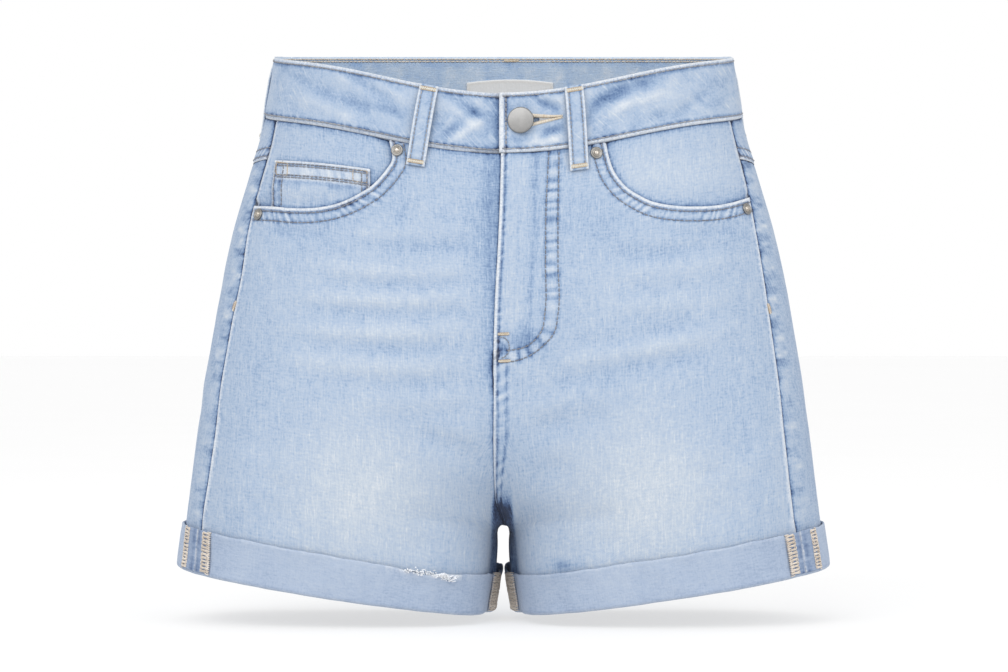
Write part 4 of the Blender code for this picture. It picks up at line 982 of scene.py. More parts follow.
def front_shell(side):
    mouth_edge = MOUTH_LINES[side]
    band, hem = BAND_HEIGHT / MM + 0.3, -HEM / MM - 1.1
    start, end = mouth_edge[0], mouth_edge[-1]
    v_end = -end[1] * MM
    seam = v_line(side, "front", 1.0, v_end, -hem * MM)
    lap_out = -LAP_REACH * float(FORM.span(side, "front", -0.1)) / MM
    own, fork = (-0.75 if side > 0 else 0.35), -CROTCH_V / MM
    lower = [[own, 184.0], [own, fork - 1.0], [0.2, fork + 1.5], [0.2, hem]]
    if side > 0:
        centre = resample(np.array([[own, band], *lower]), 1.2)
        centre_edge = centre
    else:
        centre = resample(np.array([[lap_out, band], [lap_out, 165.0], *lower]), 1.4)
        centre_edge = resample(np.array(lower), 1.2)
    top = resample(np.array([centre[0], [start[0], band]]), 1.4)
    hem_line = resample(np.array([[seam[-1, 0], hem], [centre[-1, 0], hem]]), 2.4)
    path = np.vstack([top[:-1], mouth_edge[mouth_edge[:, 1] > band + 0.05], seam[1:-1], hem_line[:-1], centre[::-1][:-1]])
    keep = np.concatenate([[True], np.linalg.norm(np.diff(path, axis=0), axis=1) > 0.05])
    outline = path[keep]
    edges = [
        Edge(mouth_edge, "ridge", 1.0, MOUTH_ROWS, seed=20 + side, rope=0.72, period=5.2),
        Edge(np.vstack([seam]), "ridge", 0.88, (), seed=30 + side, wide=1.7),
        Edge(np.array([[-20.0, BAND_HEIGHT / MM], [start[0] + 1, BAND_HEIGHT / MM]]), "under", seed=40 + side),
    ]
    fly_stop = resample(np.array([[-0.75, band], [-0.75, 184.0]]), 1.2)
    seam_low = resample(np.array(lower[:2]), 1.2)
    edges.append(Edge(resample(np.array(lower[2:]), 1.2), "seam", 0.5, seed=55 + side))
    if side > 0:
        edges.append(Edge(fly_stop, "ridge", 1.0, (3.0,), seed=51, rope=0.35))
        edges.append(Edge(seam_low, "ridge", 0.75, (2.6, 8.6), seed=52, rope=0.62, period=7.5))
    else:
        edges.append(Edge(seam_low, "under", seed=53))
    fringes = fringe_rows(mouth_edge, 1 if inside_right(mouth_edge, outline) else -1)
    fringes += fringe_rows(seam, 1 if inside_right(seam, outline) else -1, at=(0.35, 0.85, 1.45, 2.2))
    fringes += fringe_rows(centre_edge, 1 if inside_right(centre_edge, outline) else -1, at=(0.35, 0.85, 1.45, 2.2, 3.1))
    fringes += [resample(np.array([[0.0, band + x], [start[0] - 1, band + x]]), 1.2) for x in (0.6, 1.5)]

    def fine(p):
        dm, _, _ = near(p, mouth_edge)
        dense = (dm < 12.5) | ((side > 0) & (p[:, 0] < 38) & (p[:, 1] < 190)) | ((side > 0) & (p[:, 0] < 12.5))
        dense |= (side < 0) & (p[:, 0] > -1) & (p[:, 0] < 6)
        middling = (p[:, 0] > -2) & (p[:, 1] < 300)
        return np.where(dense, 2, np.where(middling, 1, 0))

    name = "front_left_cloth" if side > 0 else "front_right_cloth"
    node = "front_panel_left" if side > 0 else "front_panel_right"
    levels = front_levels(side, edges, True)
    obj = shell(name, outline, fringes, fine, 1.25, lambda p: from_front(p, side), levels, [node], part="front")
    return obj, levels, outline


def inside_right(line, outline):
    """Whether the piece lies to the right of the line's direction."""
    test = offset(line, 1.0)[len(line) // 2][None, :]
    return bool(in_polygon(test, np.asarray(outline))[0])


def simple_levels(edges, drop=0.0, thick=CLOTH, extra=None):
    def levels(points, s, q, v):
        high, tone = broad(s, q, v)
        outer = high - drop
        dye = np.zeros((len(points), 3))
        dye[:, 1] = tone
        if extra:
            outer, dye = extra(points, s, q, v, outer, dye)
        inner = outer - thick
        return apply_edges(points, edges, outer, inner, dye)

    return levels


HIP_DROP = {1: 1.3 * MM, -1: 2.6 * MM}  # how far the hip pieces lie behind the fronts at the pocket mouths


def hip_side(side, points):
    """mm from the mouth's edge out over the hip piece; less than 0 behind the front panel."""
    line = MOUTH_LINES[side]
    _, _, signed = near(points, line)
    _, _, reference = near(np.array([[line[-1, 0] - 12.0, 62.0]]), line)
    return signed * np.sign(reference[0])


def hip_rise(side, shown, reach=13.0):
    """The hip piece comes up level with the fronts away from the mouth's edge."""
    return (HIP_DROP[side] - 0.35 * MM) * smooth((shown - 1.2) / reach)


def facing_shell(side):
    line = MOUTH_LINES[side]
    across, down = FACING_LAP
    width = FORM.span(side, "front", -0.07) / MM
    moved = np.stack([np.maximum(line[:, 0] - across * width, 0), line[:, 1] + down / MM], 1)
    left = moved[:, 0].min()
    band = BAND_HEIGHT / MM + 0.3
    seam_v = -moved[-1, 1] * MM
    seam = v_line(side, "front", 1.0, -band * MM, seam_v)
    under = moved[np.argmin(moved[:, 0]):]
    top = resample(np.array([[left, band], [seam[0, 0], band]]), 1.6)
    left_side = resample(np.array([[left, under[0, 1]], [left, band]]), 2.0)
    path = np.vstack([top[:-1], seam[:-1], [[seam[-1, 0], under[-1, 1]]], under[::-1][1:], left_side[1:-1]])
    keep = np.concatenate([[True], np.linalg.norm(np.diff(path, axis=0), axis=1) > 0.05])
    outline = path[keep]
    edges = [
        Edge(seam, "ridge", 0.8, (), seed=70 + side, wide=1.7),
        Edge(np.array([[0.0, BAND_HEIGHT / MM], [seam[0, 0] + 2, BAND_HEIGHT / MM]]), "under", seed=72 + side),
    ]

    def extra(points, s, q, v, outer, dye):
        shown = hip_side(side, points)
        # painted shadow of the pocket mouth's edge on the hip piece behind it
        dye[:, 1] -= 0.62 * bell(shown, 1.5) + 0.20 * bell(shown, 5.0)
        dye[:, 1] += 0.10 * bell(points[:, 1] - 68, 16.0)
        if side < 0:
            cq, cv = FORM.locate(-1, [COIN_TOP[0][0], COIN_TOP[1][0]], [COIN_TOP[0][1], COIN_TOP[1][1]])
            a, b = front_flat(-1, cq, cv)
            ring = resample(np.array([a + (0, 30.0), a, b, b + (0, 30.0)]), 2.0)
            beside, _, _ = near(points, ring)
            # painted shadow of the coin pocket's edges on the hip piece
            dye[:, 1] -= 0.42 * bell(beside - 0.6, 1.4)
        beside, _, _ = near(points, seam)
        return outer + hip_rise(side, shown, 13.0 - 9.5 * smooth(1 - beside / 14)), dye

    levels = simple_levels(edges, HIP_DROP[side], extra=extra)
    fringes = fringe_rows(seam, 1 if inside_right(seam, outline) else -1, at=(0.35, 0.85, 1.45, 2.2))
    fringes += [resample(np.array([[left + 1, band + x], [seam[0, 0] - 1, band + x]]), 1.4) for x in (0.6, 1.5)]
    name = "hip_left_cloth" if side > 0 else "hip_right_cloth"
    node = "pocket_facing_left" if side > 0 else "pocket_facing_right"
    obj = shell(name, outline, fringes, lambda p: np.full(len(p), 1), 1.3, lambda p: from_front(p, side), levels, [node], part="front")
    return obj, levels, outline


def coin_shell():
    q, v = FORM.locate(-1, [COIN_TOP[0][0], COIN_TOP[1][0]], [COIN_TOP[0][1], COIN_TOP[1][1]])
    corners = front_flat(-1, q, v)
    low = corners + (0, COIN_DEPTH / MM)
    low[:, 0] += (-0.5, 0.8)
    top = resample(corners, 1.2)
    right = resample(np.array([corners[1], low[1]]), 1.2)
    bottom = resample(low[::-1], 1.6)
    left = resample(np.array([low[0], corners[0]]), 1.2)
    outline = np.vstack([top[:-1], right[:-1], bottom[:-1], left[:-1]])
    edges = [
        Edge(top, "ridge", 1.0, (2.6, 10.4), seed=81, rope=0.4),
        Edge(left, "ridge", 0.7, (2.0,), seed=82, rope=0.3),
        Edge(right, "ridge", 0.7, (2.0, 7.4), seed=83, rope=0.35),
    ]

    def extra(points, s, q, v, outer, dye):
        shown = hip_side(-1, points)
        down, along, _ = near(points, top)
        hem = smooth((12.2 - down) / 1.2)
        # the hem band is faded paler; the dark line just under its fold, at 14 mm, is painted shadow
        dye[:, 1] += 0.14 + 0.20 * hem + 0.20 * wobble(along, 84, 6.0) * hem - 0.30 * bell(down - 14.0, 1.6)
        dye[:, 0] += 0.34 * hem * np.clip(0.6 + 0.6 * wobble(along + 0.6 * down, 85, 5.0), 0, 1.2) + 0.5 * bell(down - 12.0, 0.8)
        dye[:, 1] += 0.14 * wobble(along, 86, 12.0) * wobble(down, 87, 16.0) * (1 - hem)
        # painted shadow of the pocket mouth's edge
        dye[:, 1] -= 0.50 * bell(shown, 1.5) + 0.15 * bell(shown, 4.5)
        return outer + 0.25 * MM * hem + hip_rise(-1, shown), dye

    levels = simple_levels(edges, HIP_DROP[-1] - 1.05 * MM, thick=0.95 * MM, extra=extra)
    fringes = []
    for line in (top, left, right):
        fringes += fringe_rows(line, 1 if inside_right(line, outline) else -1, at=(0.35, 0.85, 1.45, 2.2, 3.1))
    obj = shell("coin_pocket_cloth", outline, fringes, lambda p: np.full(len(p), 2), 1.3, lambda p: from_front(p, -1), levels, ["coin_pocket"], part="front")
    return obj, levels, {"top": top, "left": left, "right": right}


def yoke_v(q):
    return YOKE_SIDE + (YOKE_CENTRE - YOKE_SIDE) * (q - 1)


def yoke_flat(side, away=0.0):
    q = np.linspace(1.0, 2.0, 180)
    line = back_flat(side, q, yoke_v(q))
    return resample(line + (0, away), 1.3)


def back_shell(side):
    hem = -HEM / MM - 1.1
    top = yoke_flat(side, 0.15)
    seam = v_line(side, "back", 1.0, -top[0, 1] * MM, -hem * MM, 1.8)
    own, fork = (-0.6 if side > 0 else 0.2), -CROTCH_V / MM
    centre = resample(np.array([[own, top[-1, 1]], [own, fork - 1.0], [0.2, fork + 1.5], [0.2, hem]]), 1.5)
    hem_line = resample(np.array([[seam[-1, 0], hem], [centre[-1, 0], hem]]), 3.0)
    path = np.vstack([top[::-1][:-1], seam[:-1], hem_line[:-1], centre[::-1][:-1]])
    keep = np.concatenate([[True], np.linalg.norm(np.diff(path, axis=0), axis=1) > 0.05])
    outline = path[keep]
    low = centre[centre[:, 1] < fork]
    edges = [Edge(top, "under", seed=90 + side), Edge(seam, "under", seed=92 + side)]
    edges.append(Edge(centre[centre[:, 1] > fork + 1], "seam", 0.5, seed=96 + side))
    if side > 0:
        edges.append(Edge(low, "ridge", 0.8, (2.6, 8.6), seed=94, rope=1.0))
    else:
        edges.append(Edge(low, "under", seed=95))
    fringes = []
    for line in (top, seam, centre):
        fringes += fringe_rows(line, 1 if inside_right(line, outline) else -1, at=(0.4, 1.0, 1.8), step=1.5)

    def fine(p):
        ds, _, _ = near(p, seam)
        middling = (p[:, 0] < 12) | (ds < 16)
        return np.where(middling & (p[:, 0] < 12) & (side > 0), 2, np.where(middling, 1, 0))

    name = "back_left_cloth" if side > 0 else "back_right_cloth"
    node = "back_panel_left" if side > 0 else "back_panel_right"

    def extra(points, s, q, v, outer, dye):
        d, along, _ = near(points, seam)
        down = points[:, 1]
        strong = 0.62 + 0.38 * smooth((212 - down) / 14)
        wave = 0.8 * wobble(down + 0.2 * d, 97 + side, 8.5) + 0.6 * wobble(down - 0.2 * d, 197 + side, 3.8)
        wave *= smooth(1.3 - abs(d - 6.0) / 9.0) * strong
        dye[:, 1] += 0.32 * wave - 0.02 * smooth(1 - d / 14)
        dye[:, 0] += 0.30 * np.clip(wave - 0.6, 0, 1)
        return outer + 0.22 * MM * wave + pinch(points, v), dye

    levels = simple_levels(edges, extra=extra)
    obj = shell(name, outline, fringes, fine, 1.35, lambda p: from_back(p, side), levels, [node], part="back")
    return obj, levels, outline


def yoke_shell(side):
    band = BAND_HEIGHT / MM + 0.3
    low = yoke_flat(side, -0.0)
    q_top = np.linspace(1.0, 2.0, 150)
    top = back_flat(side, q_top, np.full(150, -band * MM))
    seam = v_line(side, "back", 1.0, -band * MM, -low[0, 1] * MM)
    edge_x = -0.6 if side > 0 else 0.2
    centre = resample(np.array([[edge_x, low[-1, 1]], [edge_x, band]]), 1.3)
    low = low + (0, 0.6)
    path = np.vstack([top[::-1][:-1], seam[:-1], low[:-1], centre[:-1]])
    keep = np.concatenate([[True], np.linalg.norm(np.diff(path, axis=0), axis=1) > 0.05])
    outline = path[keep]
    edges = [
        Edge(low, "ridge", 0.95, (2.6, 8.8), seed=100 + side, rope=0.9),
        Edge(seam, "under", seed=102 + side),
        Edge(top, "under", seed=104 + side),
    ]
    if side > 0:
        edges.append(Edge(centre, "ridge", 0.8, (2.6, 8.6), seed=106, rope=0.8))
    else:
        edges.append(Edge(centre, "under", seed=107))

    def extra(points, s, q, v, outer, dye):
        d, _, _ = near(points, low)
        return outer + 0.35 * MM * smooth(1 - d / 14), dye

    fringes = []
    for line in (low, seam, centre):
        fringes += fringe_rows(line, 1 if inside_right(line, outline) else -1, at=(0.35, 0.85, 1.45, 2.2, 3.1), step=1.3)

    def fine(p):
        d, _, _ = near(p, low)
        return np.where((d < 12) | ((p[:, 0] < 11) & (side > 0)), 2, 1)

    name = "yoke_left_cloth" if side > 0 else "yoke_right_cloth"
    node = "back_yoke_left" if side > 0 else "back_yoke_right"
    levels = simple_levels(edges, extra=extra)
    obj = shell(name, outline, fringes, fine, 1.35, lambda p: from_back(p, side), levels, [node], part="back")
    return obj, levels, low


# -------------------------------------------------------------------------------------------------------------- waistband
# Creases of the waistband's front, by the photograph's frame, as FRONT_CREASES.
BAND_CREASES = (
    (-1.0, 4.7, -0.28, ((300, 82), (340, 96), (385, 118))),
    (0.8, 4.2, 0.21, ((285, 92), (325, 108), (368, 128))),
    (-0.8, 3.2, -0.26, ((345, 78), (372, 90), (398, 104))),
    (0.7, 3.2, 0.21, ((362, 78), (392, 92), (418, 108))),
    (-0.9, 3.2, -0.32, ((440, 138), (462, 120), (488, 104))),
    (0.8, 2.7, 0.35, ((446, 146), (470, 128), (492, 114))),
    (-0.8, 2.7, -0.28, ((450, 96), (470, 108), (492, 126))),
    (0.7, 2.5, 0.32, ((440, 100), (460, 114), (484, 134))),
    (-1.4, 4.4, -0.50, ((588, 128), (594, 108), (610, 95), (638, 85), (672, 77))),
    (1.0, 3.8, 0.40, ((606, 124), (616, 110), (644, 99), (680, 87))),
    (-0.7, 5.2, -0.18, ((650, 128), (680, 112), (722, 96))),
    (0.6, 4.7, 0.14, ((640, 118), (668, 104), (705, 86))),
    (-1.0, 3.6, -0.53, ((538, 136), (552, 131), (572, 128))),
    (0.8, 3.2, 0.39, ((530, 146), (548, 141), (568, 137))),
    (-0.7, 2.7, -0.28, ((532, 100), (548, 106), (570, 108))),
    (0.6, 2.7, 0.25, ((536, 94), (554, 98), (572, 100))),
    (-0.6, 3.2, -0.21, ((500, 104), (508, 108), (514, 106))),
    (-0.8, 4.5, -0.20, ((432, 108), (440, 124), (452, 140))),
    (-0.6, 4.0, -0.18, ((440, 90), (462, 96), (480, 97))),
    (0.5, 2.2, 0.30, ((468, 92), (480, 104), (493, 112))),
    (0.5, 2.0, 0.30, ((434, 136), (446, 126), (456, 112))),
    (-0.7, 3.4, -0.24, ((508, 142), (520, 136), (530, 130))),
    (-0.6, 3.0, -0.22, ((530, 92), (540, 100), (556, 110), (562, 122))),
    (0.5, 2.2, 0.22, ((524, 150), (534, 141), (540, 130))),
    (0.5, 2.0, 0.30, ((556, 96), (562, 106), (566, 114))),
    (-0.7, 3.4, -0.30, ((372, 100), (392, 110), (408, 122))),
    (0.6, 2.6, 0.24, ((330, 72), (352, 84), (376, 92))),
    (-0.5, 3.0, -0.18, ((282, 72), (300, 80), (318, 84))),
    (-0.6, 4.0, -0.22, ((690, 100), (706, 92), (726, 84))),
    (-0.5, 4.0, -0.20, ((622, 128), (650, 118), (676, 106))),
)


def band_spans():
    v = -0.02
    parts = (
        (1 + BAND_OVER) * FORM.span(1, "front", v), FORM.span(1, "back", v), FORM.span(-1, "back", v),
        (1 + BAND_UNDER) * FORM.span(-1, "front", v),
    )
    return np.array(parts, float) / MM


BAND_SPANS = band_spans()
BAND_ENDS = np.concatenate([[0], np.cumsum(BAND_SPANS)])


def from_band(points):
    """The waistband's flat strip: mm from the left end round the back to the right one, mm down."""
    a, v = points[:, 0], -points[:, 1] * MM
    s1, s2, s3 = BAND_ENDS[1:4]
    q = np.where(
        a < s1, a / BAND_SPANS[0] * (1 + BAND_OVER) - BAND_OVER,
        np.where(a < s2, 1 + (a - s1) / BAND_SPANS[1], np.where(a < s3, 2 - (a - s2) / BAND_SPANS[2], 1 - (a - s3) / BAND_SPANS[3] * (1 + BAND_UNDER))),
    )
    return np.where(a < s2, 1.0, -1.0), q, v


def band_drop(side, q):
    return np.where((side < 0) & (q < 1), BAND_DROP * smooth(between(q, 0.17, 0.03)), 0.0)


BAND_TALL = BAND_HEIGHT / MM
BAND_LONG = float(BAND_ENDS[-1])
BAND_EDGES = (
    Edge([[0, 0.0], [BAND_LONG, 0.0]], "ridge", 0.95, (2.5,), seed=201, rope=0.30, radius=1.3, reach=8.0),
    Edge([[0, BAND_TALL], [BAND_LONG, BAND_TALL]], "ridge", 0.95, (2.5,), seed=202, rope=0.45, radius=1.3, reach=8.0),
    Edge([[0, 0.0], [0, BAND_TALL]], "ridge", 1.1, (4.6,), seed=203, rope=0.2, radius=1.3, reach=9.0, wide=2.5),
    Edge([[BAND_LONG, 0.0], [BAND_LONG, BAND_TALL]], "cut", 0.3, reach=8.0),
)


def band_levels(points, s, q, v):
    high, tone = broad(s, q, v)
    dye = np.zeros((len(points), 3))
    dye[:, 1] = tone + 0.07 + np.where(s > 0, 0.06, 0.0)
    fore = q < 1
    if fore.any():
        at = screen(FORM.read(s[fore], q[fore], v[fore])[0])
        h, t = seen_creases(BAND_CREASES, at, np.where(q[fore] < 0, -s[fore], s[fore]))
        high[fore] += h * MM
        dye[fore, 1] += t
        dye[fore, 0] = np.clip(t * 1.5 - 0.20, 0, 0.6)
        # painted shadow of the waistband's left end on the right part, which runs under it beside the centre
        under = (s[fore] < 0) & (at[:, 0] > 470)
        dye[fore, 1] -= np.where(under, 0.50 * bell((at[:, 0] - 500) / 1.49, 3.5) + 0.20 * bell((at[:, 0] - 500) / 1.49, 11.0), 0)
    high += 0.30 * MM * wobble(points[:, 0] + 0.4 * points[:, 1], 210, 41.0) * smooth((20.15 - abs(points[:, 1] - 20.15)) / 12)
    drop = band_drop(s, q)
    return apply_edges(points, BAND_EDGES, BAND_OUT + high - drop, BAND_IN + high - drop, dye)


def buttonhole():
    """The slit's outline in the strip's flat mm: open round the shank and closing to a point."""
    v = -BAND_HEIGHT * BUTTON_SHARE
    at = FORM.across(1, BUTTON_X, v)
    middle = float((at + BAND_OVER) / (1 + BAND_OVER) * BAND_SPANS[0])
    down = BAND_TALL * BUTTON_SHARE
    x = np.concatenate([np.linspace(-3.1, 3.8, 9), np.linspace(4.6, 26.6, 22)])
    t = np.clip((x - 3.8) / 22.8, 0, 1)
    half = np.where(x < 3.8, np.sqrt(np.clip(1 - (np.minimum(x, 0.35) - 0.35) ** 2 / 3.45**2, 0, 1)) * 3.0, 2.5 * (1 - t) ** 1.6 + 0.16)
    upper, lower = np.stack([middle + x, down - half], 1), np.stack([middle + x, down + half], 1)
    return np.vstack([upper, lower[::-1]]), middle, down


HOLE, HOLE_X, HOLE_DOWN = buttonhole()


def band_shell():
    top = resample([[0, 0], [BAND_LONG, 0]], 1.5)
    low = resample([[BAND_LONG, BAND_TALL], [0, BAND_TALL]], 1.5)
    left, right = resample([[0, BAND_TALL], [0, 0]], 1.3), resample([[BAND_LONG, 0], [BAND_LONG, BAND_TALL]], 1.8)
    outline = np.vstack([top[:-1], right[:-1], low[:-1], left[:-1]])
    fringes = []
    for away in (0.35, 0.85, 1.4, 2.0, 2.6, 3.3):
        fringes.append(resample([[away, away], [BAND_LONG - 1, away]], 1.5))
        fringes.append(resample([[away, BAND_TALL - away], [BAND_LONG - 1, BAND_TALL - away]], 1.5))
        fringes.append(resample([[away, away], [away, BAND_TALL - away]], 1.3))
    fringes = [np.asarray(f) for f in fringes]

    def fine(p):
        front = (p[:, 0] < BAND_SPANS[0] * 0.6) | (p[:, 0] > BAND_LONG - BAND_SPANS[3])
        edge = np.minimum(p[:, 1], BAND_TALL - p[:, 1]) < 5
        return np.where(front & ((p[:, 0] < 60) | edge), 2, 1)

    obj = shell(
        "waistband_cloth", outline, fringes, fine, 1.3, from_band, band_levels, ["waistband"], turned=True, hole=HOLE, reverse=0.0,
        material="denim_band",
    )
    return obj


# ------------------------------------------------------------------------------------------------- swept and gridded pieces
def grid_faces(rows, columns, wrap=False):
    i, j = np.meshgrid(np.arange(rows - 1), np.arange(columns if wrap else columns - 1), indexing="ij")
    a, k = i * columns + j, (j + 1) % columns
    return np.stack([a, (i + 1) * columns + j, (i + 1) * columns + k, i * columns + k], -1).reshape(-1, 4)


def facing_out(faces, points, normals):
    """Turns all the faces so that they agree with the normals of their first corners."""
    p = points[faces]
    n = np.cross(p[:, 1] - p[:, 0], p[:, 2] - p[:, 0])
    return faces if ((n * normals[faces[:, 0]]).sum(1) > 0).mean() > 0.5 else faces[:, ::-1]


def strip_shell(name, out, inn, normals, flat, dye_out, dye_in, nodes, slot="denim", cut=None):
    """A thin closed slab from two grids of points (rows, columns, 3)."""
    rows, columns = out.shape[:2]
    n = rows * columns
    points = np.vstack([out.reshape(-1, 3), inn.reshape(-1, 3)])
    faces = facing_out(grid_faces(rows, columns), points, normals.reshape(-1, 3))
    rim = border_edges_of(faces)
    walls = np.stack([rim[:, 1], rim[:, 0], rim[:, 0] + n, rim[:, 1] + n], 1)
    uv = flat.reshape(-1, 2) * MM
    obj = make_object(
        name, points, [faces, faces[:, ::-1] + n, walls], np.vstack([uv, uv]),
        np.vstack([dye_out.reshape(-1, 3), dye_in.reshape(-1, 3)]),
    )
    finish_piece(obj, nodes, slot)
    if cut:
        declare(obj, *cut)
    return obj


def border_edges_of(faces):
    k = faces.shape[1]
    edges = np.concatenate([faces[:, [i, (i + 1) % k]] for i in range(k)])
    keys = {(a, b) for a, b in edges.tolist()}
    return np.array([(a, b) for a, b in keys if (b, a) not in keys], int)


# Cuff section: level out from the panel and height above the fold, mm, from the top edge's inner side round to the leg's inside.
CUFF_RING = (
    [(0.95, 24.0), (0.95, 26.6), (1.1, 27.6), (1.45, 28.15), (1.85, 28.3), (2.25, 28.1), (2.5, 27.6), (2.58, 26.9), (2.55, 26.0), (2.52, 25.0)]
    + [(2.52 + 0.58 * t, 25.0 - 22.4 * t) for t in [(k + 1) / 17 for k in range(17)]]
    + [(3.12, 1.7), (3.05, 0.9), (2.8, 0.2), (2.35, -0.4), (1.7, -0.85), (0.9, -1.1), (0.1, -1.1), (-0.6, -0.85), (-1.1, -0.35)]
    + [(-1.32, 0.4), (-1.36, 1.3), (-1.30, 2.4), (-1.16, 3.8), (-1.04, 5.5)]
)
CUFF_GAPES = {  # places where the turned-up edge stands off the leg, by the photograph's frame: px, half width, mm off, mm down
    1: ((566, 26, 1.5, 0.6), (640, 40, 0.5, -0.2), (790, 20, 0.4, 0.2)),
    -1: ((425, 30, 1.3, 2.2), (300, 40, 0.5, 0.2), (230, 20, 0.4, -0.3)),
}


def cuff_face(v):
    return CUFF_OUT_TOP + (CUFF_OUT_FOLD - CUFF_OUT_TOP) * between(v, CUFF_TOP, HEM + 2.0 * MM)


def cuff_ring_q(side):
    """Columns round a cuff, closer at the seams; and the mm round it."""
    front, back = FORM.span(side, "front", HEM) / MM, FORM.span(side, "back", HEM) / MM
    count_f, count_b = int(front / 1.5), int(back / 1.9)
    q = np.concatenate([np.linspace(0, 1, count_f + 1)[:-1], 1 + np.linspace(0, 1, count_b + 1)[:-1]])
    round_mm = np.where(q <= 1, q * front, front + (q - 1) * back)
    return q, round_mm, front, back


def cuff_gape(side, q, v):
    at = screen(FORM.read(side, q, v)[0])
    off, down = np.zeros(len(q)), np.zeros(len(q))
    for px, half, out, low in CUFF_GAPES[side]:
        w = bell((at[:, 0] - px) / half, 1.0) * (q < 1)
        off, down = off + out * w, down + low * w
    behind = np.minimum(abs(2.0 - q), q)
    w = bell((behind - 0.06) / 0.09, 1.0) * (q > 1.5)
    off, down = off + (3.1 if side < 0 else 2.2) * w, down - 3.4 * w
    return off, down


def cuff_shell(side):
    q, s, front, back = cuff_ring_q(side)
    ring = np.array(CUFF_RING)
    gape, sink = cuff_gape(side, q, np.full(len(q), CUFF_TOP))
    wave = 0.35 * wobble(s, 300 + side, 38.0) + 0.12 * wobble(s, 310 + side, 9.0)
    rows = len(ring)
    L = np.repeat(ring[:, :1], len(q), 1)
    U = np.repeat(ring[:, 1:], len(q), 1)
    high_part = smooth((U - 12) / 16)
    low_part = smooth((8 - U) / 8) * (np.arange(rows)[:, None] > 9)
    outside = (np.arange(rows) < 34)[:, None]
    L = L + gape[None, :] * high_part**2 * outside
    U = U + (wave[None, :] - sink[None, :]) * high_part * outside + 0.10 * wobble(s, 320 + side, 30.0)[None, :] * low_part
    v = HEM + U * MM
    Q = np.repeat(q[None, :], rows, 0)
    S = np.repeat(s[None, :], rows, 0)
    high, tone = broad(np.full(Q.shape, side), Q, v)
    own = 0.30 * wobble(S + 0.5 * U, 330 + side, 47.0) * smooth((U - 1) / 6) * smooth((27 - U) / 6)
    face = (np.arange(rows)[:, None] >= 6) & (np.arange(rows)[:, None] <= 28)
    place = screen(FORM.read(np.full(len(q), side), q, np.full(len(q), CUFF_TOP))[0])[:, 0]
    # the seams pull the turned-up layer in
    seam = np.minimum(np.minimum(abs(S - front), S), front + back - S)
    L = L - face * 0.35 * bell(seam, 7.0)
    P, N = FORM.read(np.full(Q.shape, side), Q, v)
    points = P + N * (L * MM + high + own * MM * face)[..., None]
    dye = np.zeros((rows, len(q), 3))
    dye[..., 1] = 0.55 * tone + 0.05 * wobble(S, 340 + side, 60.0)
    d_top, d_low = abs(U - 28.0), abs(U + 0.3)
    # a thin painted shadow along the underside of the fold at the bottom
    dye[..., 1] -= 0.03 + 0.14 * bell(d_low - 1.0, 1.4) * face
    dye[..., 0] = 0.16 * bell(d_top - 0.4, 0.8) * (0.8 + 0.6 * wobble(S, 350 + side, 6.0)) + 0.14 * bell(d_low, 1.0) * (0.8 + 0.5 * wobble(S, 351 + side, 5.0))
    fore = Q < 1
    at = screen(P)
    # painted shade on the back of the cuff by the inseam, where the legs shade each other
    behind = np.where(Q > 1.5, bell((2.0 - Q) / 0.13, 1.0), 0.0)
    dye[..., 1] -= 1.1 * behind * smooth((U - 15) / 8)
    if side < 0:  # the rubbed, frayed stretch of the edge
        frayed_here = np.where(fore, bell((place - 425)[None, :] / 30.0, 1.0) + 1.6 * bell((place - 443)[None, :] / 10.0, 1.0), 0)
        dye[..., 0] += 1.2 * frayed_here * bell(d_top - 1.2, 2.2) * np.clip(0.6 + 0.8 * wobble(S, 360, 3.0), 0, 1.4)
    inside = (np.arange(rows) >= 33)[:, None]
    dye[..., 2] = np.where(inside, 1.0, 0.0)
    faces = grid_faces(rows, len(q), wrap=True)
    # close the section behind the outer wall with one plain band
    last, first = (rows - 1) * len(q), 0
    k = np.arange(len(q))
    nxt = (k + 1) % len(q)
    close = np.stack([last + k, first + k, first + nxt, last + nxt], 1)
    flat_points = points.reshape(-1, 3)
    mid = faces[len(q) * 15: len(q) * 16]
    turn = facing_out(mid, flat_points, N.reshape(-1, 3))
    if not np.array_equal(turn, mid):
        faces, close = faces[:, ::-1], close[:, ::-1]
    # flat cloth coordinates: mm round the cuff and mm along its section
    down = np.cumsum(np.concatenate([[0], np.hypot(np.diff(ring[:, 0]), np.diff(ring[:, 1]))]))
    uv = np.stack([S, np.repeat(down[:, None], len(q), 1)], -1).reshape(-1, 2) * MM
    name = "cuff_left_cloth" if side > 0 else "cuff_right_cloth"
    obj = make_object(name, flat_points, [np.vstack([faces, close])], uv, dye.reshape(-1, 3))
    finish_piece(obj, ["cuff_left" if side > 0 else "cuff_right"], "denim_reverse")
    declare(obj, (front + back) * MM, 0.0295)
    return obj


ALLOWANCES = {  # piece of the form, q at the seam, the side of it that the allowance lies on, width in mm
    "side_front": ("front", 1.0, -1, 0.055), "side_back": ("back", 1.0, 1, 0.045),
    "inseam_front": ("front", 0.0, 1, 0.055), "inseam_back": ("back", 2.0, -1, 0.05),
}


ALLOWANCE_LONGER = 1.075  # they reach from the turned-up edge over the fold


